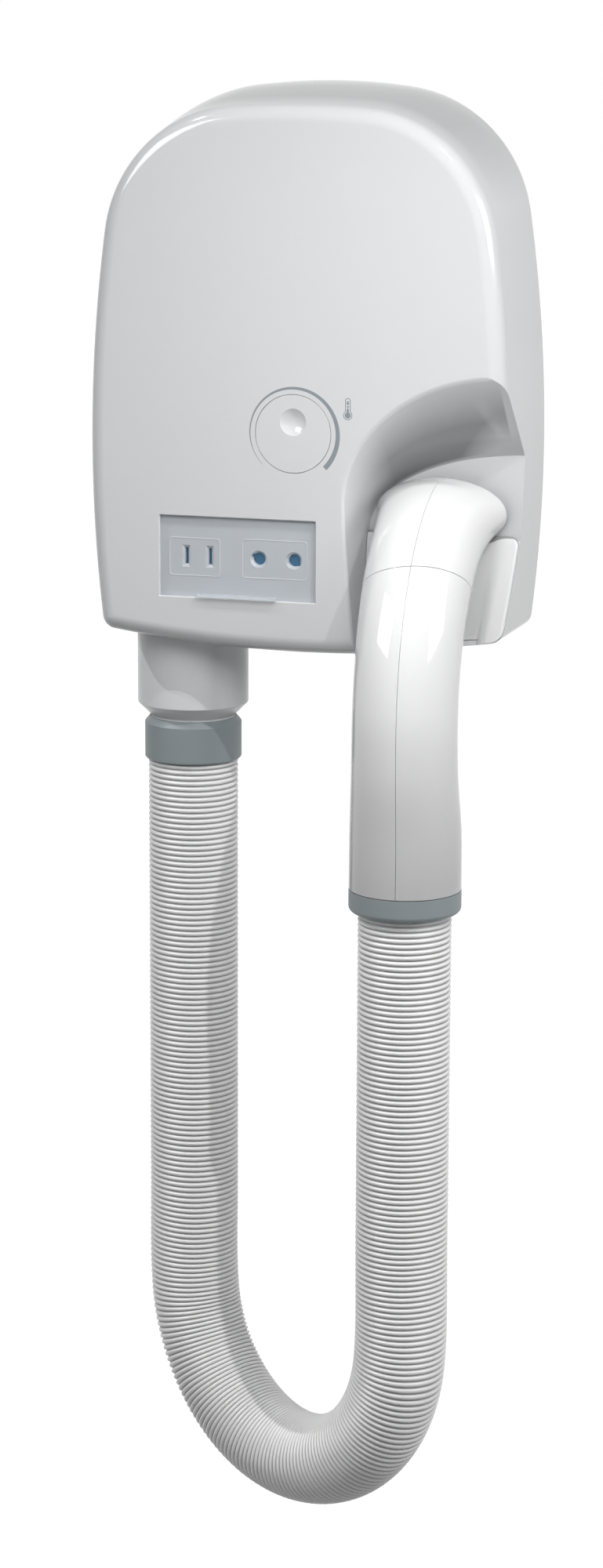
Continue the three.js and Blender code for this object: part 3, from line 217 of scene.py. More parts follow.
def fillet(radius, steps):
    """Pairs that lead round a fillet: how far back each lies, and how far in."""
    turns = [i / steps * pi / 2 for i in range(steps + 1)]
    return [(radius * (1 - cos(turn)), radius * (1 - sin(turn))) for turn in turns]


# ------------------------------------------------------------------ settings


def measure(name, description, value):
    return FloatProperty(
        name=name, description=description, default=value, subtype="DISTANCE", unit="LENGTH")


class DryerSizes(bpy.types.PropertyGroup):
    """Sizes of the visible detail that the frame leaves open."""

    hose_radius: measure("Hose radius", "Crest of the ribs from the hose's centre", 0.0241)
    rib_pitch: measure("Rib pitch", "Distance from one rib of the hose to the next", 0.00294)
    rib_depth: measure("Rib depth", "How deep the groove between two ribs is", 0.0012)
    seam_width: measure("Seam width", "Gap between the halves of the handset", 0.0002)
    scale_radius: measure("Scale radius", "Inner radius of the scale round the dial", 0.0227)
    scale_width: measure("Scale width", "Width of the scale at its hot end", 0.0026)
    border_width: measure("Border width", "Width of the lines round the sockets", 0.0005)


def colour(name, description, value):
    return FloatVectorProperty(
        name=name, description=description, default=value, subtype="COLOR", size=3, min=0, max=1)


class DryerColours(bpy.types.PropertyGroup):
    """Colours of the finishes."""

    housing: colour("Housing", "Light grey-white cover", (0.715, 0.722, 0.735))
    handset: colour("Handset", "White handset and cradle", (0.83, 0.831, 0.834))
    hose: colour("Hose", "White ribbed hose", (0.98, 0.98, 0.98))
    spigot: colour("Spigot", "Light grey outlet pipe", (0.8, 0.81, 0.82))
    cuffs: colour("Cuffs", "Mid grey swivel cuffs", (0.27, 0.31, 0.325))
    print: colour("Print", "Grey ink of the scale and the thermometer", (0.25, 0.285, 0.31))
    sockets: colour("Sockets", "Pale blue-grey plate of the sockets", (0.67, 0.695, 0.725))
    flap: colour("Flap", "Blue-grey tint of the clear flap", (0.07, 0.15, 0.23))
    shutters: colour("Shutters", "Blue safety shutters in the sockets", (0.055, 0.18, 0.32))


def sizes():
    return bpy.context.scene.dryer_sizes


def colours():
    return bpy.context.scene.dryer_colours


# ------------------------------------------------------------------ finishes

FINISH_PREFIX = "dryer_"


def arithmetic(operation, swapped=False):
    """The method of an operator that adds a Math node."""
    def method(self, other):
        return self.math(operation, *((other, self) if swapped else (self, other)))
    return method


class Value:
    """A node's output that Python arithmetic turns into Math nodes."""

    def __init__(self, finish, socket):
        self.finish = finish
        self.socket = socket

    def math(self, operation, *values):
        inputs = dict(enumerate(values))
        return self.finish.node("ShaderNodeMath", {"operation": operation}, inputs)

    __add__, __radd__ = arithmetic("ADD"), arithmetic("ADD", swapped=True)
    __sub__, __rsub__ = arithmetic("SUBTRACT"), arithmetic("SUBTRACT", swapped=True)
    __mul__, __rmul__ = arithmetic("MULTIPLY"), arithmetic("MULTIPLY", swapped=True)
    __truediv__ = arithmetic("DIVIDE")

    def clamped(self):
        return self.math("MINIMUM", self.math("MAXIMUM", self, 0.0), 1.0)

    def ramp(self, start, end):
        """0 at start, 1 at end and beyond it; the end may be the smaller number."""
        return ((self - start) / (end - start)).clamped()


class NodeTree:
    """A node tree whose nodes are made by one method."""

    def __init__(self, tree):
        self.tree = tree

    def node(self, kind, settings=None, inputs=None, output=0):
        """Makes a node: its settings first, then the values or links of its sockets."""
        made = self.tree.nodes.new(kind)
        for key, value in (settings or {}).items():
            setattr(made, key, value)
        for key, value in (inputs or {}).items():
            self.put(made.inputs[key], value)
        return Value(self, made.outputs[output])

    def put(self, socket, value):
        if isinstance(value, Value):
            self.tree.links.new(value.socket, socket)
        else:
            socket.default_value = value


class Finish(NodeTree):
    """A material on a Principled shader, with constants set on the shader's own sockets."""

    def __init__(self, name, tint, **constants):
        self.material = bpy.data.materials.new(FINISH_PREFIX + name)
        self.material.use_nodes = True
        super().__init__(self.material.node_tree)
        self.shader = self.tree.nodes["Principled BSDF"]
        self.tint = (*tint, 1.0)
        self.set("Base Color", self.tint)
        for key, value in constants.items():
            self.set(key.replace("_", " ").title(), value)

    def set(self, socket, value):
        self.put(self.shader.inputs[socket], value)

    def place(self):
        """Object coordinates, in metres."""
        return self.node("ShaderNodeTexCoord", output=3)

    def along(self, axis):
        """The place along X, Y or Z, in millimetres."""
        output = "XYZ".index(axis)
        return self.node("ShaderNodeSeparateXYZ", {}, {0: self.place()}, output) / MM

    def noise(self, size, detail=3.0):
        """Noise whose blotches are about `size` millimetres across, from 0 to 1."""
        inputs = {"Vector": self.place(), "Scale": 1 / (size * MM), "Detail": detail}
        return self.node("ShaderNodeTexNoise", {}, inputs)

    def attribute(self, name):
        return self.node("ShaderNodeAttribute", {"attribute_name": name}, output=2)

    def blend(self, share, a, b):
        """A colour `share` of the way from a to b."""
        inputs = {0: share, 6: a, 7: b}
        return self.node("ShaderNodeMix", {"data_type": "RGBA"}, inputs, output=2)

    def shade(self, factor):
        """The tint made darker or lighter by a number."""
        return tuple(min(1.0, part * factor) for part in self.tint[:3]) + (1.0,)

    def paint(self, share, a, b):
        self.set("Base Color", self.blend(share, a, b))

    def vary(self, share, amount):
        """Lets the colour drift by `amount` either way with a number from 0 to 1."""
        self.paint(share, self.shade(1 - amount), self.shade(1 + amount))

    def wear(self, roughness, size, amount):
        """Lets the roughness differ from place to place."""
        self.set("Roughness", roughness + (self.noise(size) - 0.5) * amount)

    def bump(self, height, distance):
        inputs = {"Height": height, "Distance": distance * MM, "Strength": 1.0}
        self.set("Normal", self.node("ShaderNodeBump", {}, inputs))


def moulded(name, tint, roughness, grain=0.006, drift=0.015):
    """Injection-moulded plastic: slow drift of the colour and a very fine skin."""
    made = Finish(name, tint)
    made.vary(made.noise(60, 2.0), drift)
    made.wear(roughness, 14, 0.08)
    made.bump(made.noise(1.6, 2.0), grain)


def cover_white():
    """The housing's plastic, with painted shade on its top and under the bay's curved ceiling."""
    made = Finish("cover_plastic", colours().housing)
    made.set("Specular IOR Level", 0.4)
    x, z, depth = made.along("X"), made.along("Z"), made.along("Y") + HOUSING_DEPTH
    # Painted shade: the colour darkens on the top of the housing and on the bay's ceiling, where
    # the lamps light less; the faint noise is real drift of the tone.
    top_painted_shade = z.ramp(85, 125) * depth.ramp(3, 23)
    over_arch = z + 6 + (depth - 5) * 1.257
    ceiling_painted_shade = over_arch.ramp(7, 4) * depth.ramp(2, 22) * depth.ramp(39.5, 38)
    ceiling_painted_shade = ceiling_painted_shade * x.ramp(25, 45) * x.ramp(107.5, 106.5) * z.ramp(-110, -60)
    share = top_painted_shade * 0.45 + ceiling_painted_shade * 0.7 + made.noise(60, 2.0) * 0.03
    made.paint(share, made.shade(1.0), made.shade(0.25))
    made.wear(0.11, 14, 0.04)
    made.bump(made.noise(1.6, 2.0), 0.002)


def socket_grey():
    """The socket plate's plastic, paler on the raised lines round the openings."""
    made = Finish("socket_plastic", colours().sockets, roughness=0.3)
    face = front_y(WALL + GAP)
    share = made.along("Y").ramp(face, face - 0.1) * 0.6 + made.noise(60, 2.0) * 0.03
    made.paint(share, made.shade(1.0), (1.0, 1.0, 1.0, 1.0))
    made.bump(made.noise(1.6, 2.0), 0.004)


def mouth():
    """The centre of the handset's mouth, and the way it opens."""
    middles = [
        (handset_point(LINE.length - back, pi / 2, 0)
         + handset_point(LINE.length - back, -pi / 2, 0)) / 2 for back in (0, 1)]
    return middles[0], (middles[0] - middles[1]).normalized()


def polished_white():
    """Polished white plastic, with painted shade toward the handle's foot and on the mouth's lip.
    """
    made = Finish("handset_plastic", colours().handset)
    made.set("Specular IOR Level", 1.0)
    drift = 1 - (made.noise(60, 2.0) - 0.5) * 0.02
    # Painted shade: the colour darkens toward the foot of the handle, where less light reaches it.
    foot = made.along("Z").ramp(-160, -250) * drift
    body = made.blend(foot, made.shade(1.0), made.shade(0.64))
    # Painted shade: a thin darker band round the mouth's lip stands in for the shade of its turned
    # edge.
    centre, out = mouth()
    reach = made.node("ShaderNodeVectorMath", {"operation": "DOT_PRODUCT"},
                      {0: made.place(), 1: out}, output=1) / MM
    lip = (reach - centre.dot(out)).ramp(-0.8, -0.6)
    made.paint(lip, body, made.shade(0.4))
    made.wear(0.06, 14, 0.03)
    made.bump(made.noise(1.6, 2.0), 0.0005)


def metal(name, tint, roughness):
    made = Finish(name, tint, metallic=1.0)
    made.vary(made.noise(8), 0.12)
    made.wear(roughness, 1.5, 0.2)
    made.bump(made.noise(0.7), 0.02)


def ribbed_hose():
    """Soft white plastic, with painted shade in the grooves between the ribs."""
    made = Finish("hose_plastic", colours().hose)
    crest = made.attribute("crest")
    # Painted shade: the grooves between the ribs are darker in the colour, where shade falls under
    # each crest; the noise adds real random tone.
    painted_rib_shade = (crest * 1.6 + (made.noise(25) - 0.5) * 0.2).clamped()
    made.paint(painted_rib_shade, made.shade(0.4), made.shade(1.0))
    made.set("Roughness", 0.5 - crest * 0.12)
    made.bump(made.noise(1.2), 0.01)


def tinted_clear():
    """A thin clear panel: its tint covers part of what lies behind it, more at the finger tab."""
    made = Finish("tinted_flap", colours().flap, roughness=0.06)
    made.set("Specular IOR Level", 0.25)
    across, foot, edge = made.along("X") - SOCKET_X, FLAP_LOW.z + TAB_HEIGHT, 0.1
    tab = made.along("Z").ramp(foot + edge, foot - edge)
    aside = across.math("ABSOLUTE", across)
    tab = tab * aside.ramp(TAB_HALF_WIDTH + edge, TAB_HALF_WIDTH - edge)
    made.set("Alpha", tab * 0.4 + 0.07)
    share = tab + made.noise(30) * 0.05
    made.paint(share, made.shade(1.0), (0.76, 0.8, 0.84, 1.0))
    made.bump(made.noise(9, 1.0), 0.01)
    made.material.surface_render_method = "BLENDED"


def winding():
    """Enamelled copper wire in close turns."""
    made = Finish("winding", (0.45, 0.17, 0.06), metallic=0.6, roughness=0.35)
    turns = made.node("ShaderNodeTexWave", {"bands_direction": "Z"},
                      {"Vector": made.place(), "Scale": 900.0})
    made.vary(turns, 0.3)
    made.bump(turns, 0.25)


def board():
    """Green solder resist over faint tracks."""
    made = Finish("board", (0.03, 0.16, 0.06), roughness=0.35)
    tracks = made.node("ShaderNodeTexVoronoi", {"distance": "MANHATTAN"},
                       {"Vector": made.place(), "Scale": 240.0})
    made.vary((tracks * 3.0).clamped(), 0.25)
    made.bump(tracks, 0.05)


def make_finishes():
    """Makes a finish for every slot in the record."""
    tint = colours()
    for make in (cover_white, socket_grey, polished_white, ribbed_hose, tinted_clear, winding,
                 board):
        make()
    moulded("plate_plastic", tint.housing, 0.55, grain=0.03)
    moulded("spigot_plastic", tint.spigot, 0.25)
    moulded("cuff_plastic", tint.cuffs, 0.45, grain=0.012)
    moulded("inner_plastic", (0.05, 0.055, 0.06), 0.55, grain=0.03)
    moulded("shutter_plastic", tint.shutters, 0.5)
    moulded("print_ink", tint.print, 0.5, grain=0.004)
    moulded("mica", (0.5, 0.42, 0.28), 0.7, grain=0.1, drift=0.2)
    metal("screw_steel", (0.6, 0.6, 0.6), 0.35)
    metal("core_steel", (0.3, 0.3, 0.31), 0.5)
    metal("contact_brass", (0.75, 0.6, 0.32), 0.35)
    metal("heater_wire", (0.5, 0.48, 0.46), 0.45)


def finish_of(slot):
    """The finish for a slot. All are made on first use."""
    if FINISH_PREFIX + slot not in bpy.data.materials:
        make_finishes()
    return bpy.data.materials[FINISH_PREFIX + slot]


# ------------------------------------------------------------------ modelling


def only(obj):
    bpy.ops.object.select_all(action="DESELECT")
    obj.select_set(True)
    bpy.context.view_layer.objects.active = obj


@contextmanager
def editing(obj, mode="VERT"):
    only(obj)
    bpy.ops.object.mode_set(mode="EDIT")
    bpy.ops.mesh.select_mode(type=mode)
    try:
        yield
    finally:
        bpy.ops.object.mode_set(mode="OBJECT")


def turn_outward():
    """Selects the whole of the piece in edit mode and turns its faces outward."""
    bpy.ops.mesh.select_all(action="SELECT")
    bpy.ops.mesh.normals_make_consistent(inside=False)


def choose_edges(obj, numbers):
    """Selects in edit mode the edges with these numbers, and nothing else."""
    bpy.ops.mesh.select_all(action="DESELECT")
    mesh = bmesh.from_edit_mesh(obj.data)
    for edge in mesh.edges:
        if edge.index in numbers:
            edge.select_set(True)
    bmesh.update_edit_mesh(obj.data)


def linked(name, data):
    obj = bpy.data.objects.new(name, data)
    bpy.context.collection.objects.link(obj)
    return obj


def drawn(name, points, edges=(), faces=()):
    """An object of points, given in millimetres, and of edges or faces between them."""
    mesh = bpy.data.meshes.new(name)
    mesh.from_pydata([Vector(point) * MM for point in points], edges, faces)
    return linked(name, mesh)


def skinned(name, rings):
    """A closed skin: each ring of points is bridged to the next, and the ends are filled."""
    count = len(rings[0])
    starts = range(0, len(rings) * count, count)
    edges = [(start + j, start + (j + 1) % count) for start in starts for j in range(count)]
    obj = drawn(name, [point for ring in rings for point in ring], edges)
    with editing(obj, "EDGE"):
        for start in starts[:-1]:
            choose_edges(obj, range(start, start + 2 * count))
            bpy.ops.mesh.bridge_edge_loops()
        for start in (starts[0], starts[-1]):
            choose_edges(obj, range(start, start + count))
            bpy.ops.mesh.edge_face_add()
        turn_outward()
    return obj


AXES = {"X": Vector((1, 0, 0)), "Y": Vector((0, 1, 0)), "Z": Vector((0, 0, 1))}
ACROSS = {"X": Vector((0, 1, 0)), "Y": Vector((1, 0, 0)), "Z": Vector((1, 0, 0))}


def spun(name, profile, centre, axis="Z", steps=96, closed=False):
    """A turned piece: a profile of (radius, height) pairs spun once round its axis."""
    centre = Vector(centre)
    points = [centre + ACROSS[axis] * radius + AXES[axis] * height for radius, height in profile]
    edges = [(i, i + 1) for i in range(len(points) - 1)]
    if closed:
        edges.append((len(points) - 1, 0))
    obj = drawn(name, points, edges)
    with editing(obj):
        bpy.ops.mesh.select_all(action="SELECT")
        bpy.ops.mesh.spin(
            steps=steps, angle=2 * pi, center=centre * MM, axis=AXES[axis])
        bpy.ops.mesh.select_all(action="SELECT")
        bpy.ops.mesh.remove_doubles(threshold=1e-6)
        turn_outward()
    return obj


def rod(name, radius, start, end, centre, axis="Z", steps=24):
    """A plain cylinder from one height to another along its axis."""
    return spun(name, [(0, start), (radius, start), (radius, end), (0, end)], centre, axis, steps)


def prism(name, profile, start, end, axis):
    """A flat outline pushed along an axis. The outline's pairs are the other two axes in order."""
    order = {"X": lambda u, v, w: (w, u, v), "Y": lambda u, v, w: (u, w, v),
             "Z": lambda u, v, w: (u, v, w)}[axis]
    count = len(profile)
    obj = drawn(name, [order(u, v, start) for u, v in profile],
                [(i, (i + 1) % count) for i in range(count)])
    with editing(obj, "EDGE"):
        bpy.ops.mesh.select_all(action="SELECT")
        bpy.ops.mesh.edge_face_add()
        move = AXES[axis] * (end - start) * MM
        bpy.ops.mesh.extrude_region_move(TRANSFORM_OT_translate={"value": move})
        turn_outward()
    return obj


def brick(name, corner, opposite):
    """A box between two corners, from a primitive at its size and place."""
    corner, opposite = Vector(corner) * MM, Vector(opposite) * MM
    bpy.ops.object.select_all(action="DESELECT")
    bpy.ops.mesh.primitive_cube_add(size=1, location=(corner + opposite) / 2)
    obj = bpy.context.object
    obj.name = obj.data.name = name
    obj.scale = opposite - corner
    bpy.ops.object.transform_apply(location=True, rotation=True, scale=True)
    return obj


def with_modifier(obj, kind, **settings):
    """Adds a modifier and applies it."""
    only(obj)
    bpy.ops.object.modifier_add(type=kind)
    modifier = obj.modifiers[-1]
    for key, value in settings.items():
        setattr(modifier, key, value)
    bpy.ops.object.modifier_apply(modifier=modifier.name)
    return obj


def joined_by(obj, other, operation):
    """Joins a second shape to a piece, or cuts it out, and uses that shape up."""
    with_modifier(obj, "BOOLEAN", operation=operation, object=other, solver="EXACT")
    bpy.data.objects.remove(other)
    return obj


def cut(obj, *cutters):
    """Cuts each cutter out of a piece."""
    for cutter in cutters:
        joined_by(obj, cutter, "DIFFERENCE")
    return obj


def bevelled(obj, width, segments, angle=30):
    return with_modifier(
        obj, "BEVEL", width=width * MM, segments=segments, limit_method="ANGLE",
        angle_limit=radians(angle), miter_outer="MITER_ARC")


def done(obj, body, slot, replaced=(), angle=30):
    """Shades a finished piece, gives it its finish and its body, and hides the nodes it stands
    for.
    """
    only(obj)
    bpy.ops.object.shade_smooth_by_angle(angle=radians(angle))
    with_modifier(obj, "WEIGHTED_NORMAL", keep_sharp=True, weight=80)
    obj.data.materials.clear()
    obj.data.materials.append(finish_of(slot))
    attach(obj, body)
    if replaced:
        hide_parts(*replaced)
    return obj


def rounded_box(u, v, wide, tall, radius, steps=6):
    """The outline of a rectangle with round corners, anticlockwise."""
    points = []
    for corner, (x, y) in enumerate([(1, -1), (1, 1), (-1, 1), (-1, -1)]):
        cx, cy = u + x * (wide / 2 - radius), v + y * (tall / 2 - radius)
        for i in range(steps + 1):
            angle = radians(-90 + 90 * corner + 90 * i / steps)
            points.append(around(cx, cy, radius, angle))
    return points


# ------------------------------------------------------------------ the housing's form


def nested_centre(a, b, radius):
    """The right-hand circle of a radius that touches two larger circles from inside."""
    (ax, az, ar), (bx, bz, br) = a, b
    dx, dz = bx - ax, bz - az
    apart = hypot(dx, dz)
    along = ((ar - radius) ** 2 - (br - radius) ** 2 + apart ** 2) / (2 * apart)
    across = sqrt((ar - radius) ** 2 - along ** 2)
    found = [(ax + (along * dx - side * across * dz) / apart,
              az + (along * dz + side * across * dx) / apart, radius) for side in (1, -1)]
    return max(found)


def bearing(start, end):
    return atan2(end[1] - start[1], end[0] - start[0])


def arc(circle, start, end, steps):
    return [around(*circle, mixed(start, end, i / steps)) for i in range(steps)]


def outline_circles(depth, inset):
    """The circles that the housing's outline at a depth is drawn with, bottom to crown."""
    back = max(depth - FRONT_ROUND, 0) / (HOUSING_DEPTH - FRONT_ROUND)
    half_width = FRONT_HALF_WIDTH + SIDE_DRAFT * back
    top_z = FRONT_TOP_Z + CROWN_RISE * sin(1.75 * back)
    top_radius = mixed(FRONT_TOP_RADIUS, REAR_TOP_RADIUS, back)
    side = (half_width - SIDE_RADIUS, SIDE_CENTRE_Z, SIDE_RADIUS - inset)
    top = (0, top_z - top_radius, top_radius - inset)
    bottom = (0, BOTTOM_Z + BOTTOM_RADIUS, BOTTOM_RADIUS - inset)
    shoulder = nested_centre(side, top, SHOULDER_RADIUS - inset)
    corner = nested_centre(side, bottom, max(BOTTOM_CORNER_RADIUS - inset, 1))
    return bottom, corner, side, shoulder, top


def outline(depth, inset):
    """The housing's outline at a depth, inset all round: crown, shoulders, sides and bottom."""
    bottom, corner, side, shoulder, top = outline_circles(depth, inset)
    half = [
        *arc(bottom, -pi / 2, bearing(bottom, corner), 14),
        *arc(corner, bearing(bottom, corner), bearing(side, corner), 10),
        *arc(side, bearing(side, corner), bearing(side, shoulder), 22),
        *arc(shoulder, bearing(side, shoulder), bearing(top, shoulder), 28),
        *arc(top, bearing(top, shoulder), pi / 2, 14),
        (0, top[1] + top[2]),
    ]
    return half + [(-x, z) for x, z in reversed(half[1:-1])]


def housing_ring(depth, inset):
    return [(x, front_y(depth), z) for x, z in outline(depth, inset)]


def housing_body(name, inset, rear_depth, steps=10):
    """The housing as one solid with its rounded front, inset on every side but the rear."""
    rings = [housing_ring(inset + back, inset + inward)
             for back, inward in fillet(FRONT_ROUND - inset, steps)]
    shares = [i / 12 for i in range(1, 12)]
    rings += [housing_ring(mixed(FRONT_ROUND, HOUSING_DEPTH, share), inset) for share in shares]
    rings.append(housing_ring(rear_depth, inset))
    return skinned(name, rings)


def bay_section(depth, grow, flare):
    """One section of the bay: the left wall and a quarter oval up to the ceiling."""
    share = min(max(depth / BAY_DEPTH, 0), 1)
    x, z, wide, tall, foot = (
        mixed(BAY_FRONT[key], BAY_REAR[key], share) for key in ("x", "z", "wide", "high", "foot"))
    extra = grow + flare
    left, foot = x - wide - extra, foot - extra
    points = [(foot, BAY_LOW)]
    wall_steps, oval_steps = 14, 48
    for i in range(wall_steps):
        down = 1 - i / wall_steps
        points.append((mixed(left, foot, down ** 1.3), mixed(z, BOTTOM_Z, down)))
    for i in range(oval_steps + 1):
        angle = pi - i / oval_steps * pi / 2
        points.append((x + (wide + extra) * cos(angle), z + (tall + extra) * sin(angle)))
    points += [(BAY_RIGHT, z + tall + extra), (BAY_RIGHT, BAY_LOW)]
    return [(px, front_y(depth), pz) for px, pz in points]


def bay_body(name, grow, steps=8):
    """The space of the handset's bay, with the fillet of its front edge."""
    rings = [[(x, front_y(-2), z) for x, _, z in bay_section(0, grow, BAY_LIP)]]
    rings += [bay_section(back, grow, out) for back, out in fillet(BAY_LIP, steps)]
    rings += [bay_section(BAY_DEPTH * i / 12, grow, 0) for i in range(2, 12)]
    rings.append(bay_section(BAY_DEPTH + grow, grow, 0))
    return skinned(name, rings)


def cradle_depth(z):
    """How deep the cradle's leaning front lies at a height."""
    share = (z - CRADLE_FOOT_Z) / (CRADLE_TOP_Z - CRADLE_FOOT_Z)
    return mixed(CRADLE_FOOT_DEPTH, CRADLE_TOP_DEPTH, share)


def cradle_profile(top_z, rear_depth):
    """The cradle seen from the side, with its rounded top edge."""
    rear, top_y = front_y(rear_depth), front_y(CRADLE_TOP_DEPTH)
    edge_y = min(top_y + 1.5, rear - 0.5)
    lower = (front_y(cradle_depth(CRADLE_TOP_Z - CRADLE_EDGE)), top_z - CRADLE_EDGE)
    points = [(rear, BAY_LOW), (rear, top_z)]
    steps = 10
    for i in range(steps + 1):
        t = i / steps
        points.append(tuple(
            (1 - t) ** 2 * a + 2 * t * (1 - t) * b + t * t * c
            for a, b, c in zip((edge_y, top_z), (top_y, top_z), lower)))
    return points + [(front_y(cradle_depth(BAY_LOW)), BAY_LOW)]


# ------------------------------------------------------------------ the handset's form


class HandsetLine:
    """The handset's centre line: straight up the handle, then a bend to the mouth."""

    STEPS = 400

    def __init__(self):
        pull = Vector((0, sin(MOUTH_TILT), cos(MOUTH_TILT))) * MOUTH_PULL
        bend = Vector((HANDSET_X, HANDLE_Y, HANDLE_BEND_Z))
        mouth = Vector((HANDSET_X, MOUTH_Y, MOUTH_Z))
        self.handles = (bend, bend + Vector((0, 0, BEND_PULL)), mouth - pull, mouth)
        self.straight = HANDLE_BEND_Z - HANDLE_FOOT_Z
        points = [self.bend_point(i / self.STEPS) for i in range(self.STEPS + 1)]
        self.lengths = [0.0]
        for a, b in zip(points, points[1:]):
            self.lengths.append(self.lengths[-1] + (b - a).length)
        self.length = self.straight + self.lengths[-1]

    def bend_point(self, t):
        a, b, c, d = self.handles
        return a * (1 - t) ** 3 + b * 3 * t * (1 - t) ** 2 + c * 3 * t * t * (1 - t) + d * t ** 3

    def at(self, along):
        """The centre and the forward direction at a length from the handle's foot."""
        if along <= self.straight:
            return Vector((HANDSET_X, HANDLE_Y, HANDLE_FOOT_Z + along)), AXES["Z"].copy()
        reach = min(along - self.straight, self.lengths[-1])
        i = min(max(bisect.bisect_left(self.lengths, reach), 1), self.STEPS)
        before, after = self.lengths[i - 1], self.lengths[i]
        t = (i - 1 + (reach - before) / (after - before)) / self.STEPS
        a, b, c, d = self.handles
        tangent = (b - a) * (1 - t) ** 2 + (c - b) * 2 * t * (1 - t) + (d - c) * t * t
        tangent.normalize()
        return self.bend_point(t) + tangent * (along - self.straight - reach), tangent


LINE = HandsetLine()
HEAD_START = LINE.length - HEAD_LENGTH
NECK_HALF = WAIST_RADIUS - 0.3
STATIONS = [0, 30, 62, LINE.length - NECK_LENGTH, LINE.length - 16, LINE.length]
HALF_WIDTHS = [HANDLE_RADIUS, HANDLE_RADIUS - 0.25, WAIST_RADIUS, NECK_HALF + 0.6,
               NECK_HALF + 3.4, MOUTH_HALF_WIDTH]
HALF_DEPTHS = [HANDLE_RADIUS, HANDLE_RADIUS - 0.25, WAIST_RADIUS, NECK_HALF,
               (NECK_HALF + MOUTH_HALF_HEIGHT) / 2 + 0.5, MOUTH_HALF_HEIGHT]
FORWARD_BOWS = [0, 0.2, 3.4, 1.5, 0, 0]


def eased(values, along):
    """A smooth curve through a value at each station."""
    along = min(max(along, 0), STATIONS[-1])
    i = min(max(bisect.bisect_right(STATIONS, along), 1), len(STATIONS) - 1)
    t0, t1 = STATIONS[i - 1], STATIONS[i]
    before = (STATIONS[i - 2], values[i - 2]) if i > 1 else (t1, values[i])
    after = ((STATIONS[i + 1], values[i + 1]) if i + 1 < len(STATIONS) else (t0, values[i - 1]))
    start = (t1 - t0) / 2 / (t0 - before[0])
    end = (t1 - t0) / 2 / (after[0] - t1)
    p = (along - t0) / (t1 - t0)
    return (
        (-start * p ** 3 + 2 * start * p ** 2 - start * p) * before[1]
        + ((1 + start) * p ** 3 + (-1.5 - 2 * start) * p ** 2 + (-0.5 + start) * p + 1)
        * values[i - 1]
        + ((-1 - end) * p ** 3 + (1.5 + end) * p ** 2 + 0.5 * p) * values[i]
        + (end * p ** 3 - end * p ** 2) * after[1])


def handset_point(along, angle, grow):
    """A point on the handset's oval section; angle 0 is to the right and 90 degrees in front."""
    centre, tangent = LINE.at(along)
    centre.y -= eased(FORWARD_BOWS, along)
    front = Vector((0, -tangent.z, tangent.y))
    wide, thick = eased(HALF_WIDTHS, along) + grow, eased(HALF_DEPTHS, along) + grow
    return centre + Vector((wide * cos(angle), 0, 0)) + front * thick * sin(angle)


def handset_body(name, start, end, grow, steps=40, sides=96):
    """The handset as one solid between two lengths along it."""
    angles = [2 * pi * i / sides for i in range(sides)]
    return skinned(name, [
        [handset_point(mixed(start, end, i / steps), angle, grow) for angle in angles]
        for i in range(steps + 1)])


def half_section(along, side, inset, lean):
    """One half of the wall in section: outside round, then back inside. It climbs by `lean`."""
    edge, arcs = 0.12, 44
    seam = SEAM_OFFSET + side * sizes().seam_width / MM / 2

    def row(grow, start_x):
        """Points round the outside or the inside of the half, seam to seam."""
        wide = eased(HALF_WIDTHS, along)
        turn = acos(start_x / (wide + grow))
        first, last = (-turn, turn) if side > 0 else (turn, 2 * pi - turn)
        angles = [mixed(first, last, i / arcs) for i in range(arcs + 1)]
        return [handset_point(along + lean * wide * cos(angle), angle, grow)
                for angle in angles]

    outside = row(-inset, seam + side * edge)
    corners = row(-inset - edge, seam)
    inside = row(inset - HANDSET_WALL, seam)
    for corner in (corners[0], corners[-1], inside[0], inside[-1]):
        corner.x = HANDSET_X + seam
    return [corners[0], *outside, corners[-1], *reversed(inside)]


def half_shell(name, side, span, edges, leans, steps):
    """One half of the handle or the head, its two ends rounded."""
    (start, end), (start_edge, end_edge) = span, edges
    stations = [(start + back, inset) for back, inset in fillet(start_edge, 4)[:-1]]
    stations += [(mixed(start + start_edge, end - end_edge, i / steps), 0)
                 for i in range(steps + 1)]
    stations += [(end - back, inset) for back, inset in reversed(fillet(end_edge, 4)[:-1])]
    return skinned(name, [
        half_section(along, side, inset, mixed(*leans, (along - start) / (end - start)))
        for along, inset in stations])


# ------------------------------------------------------------------ the pieces


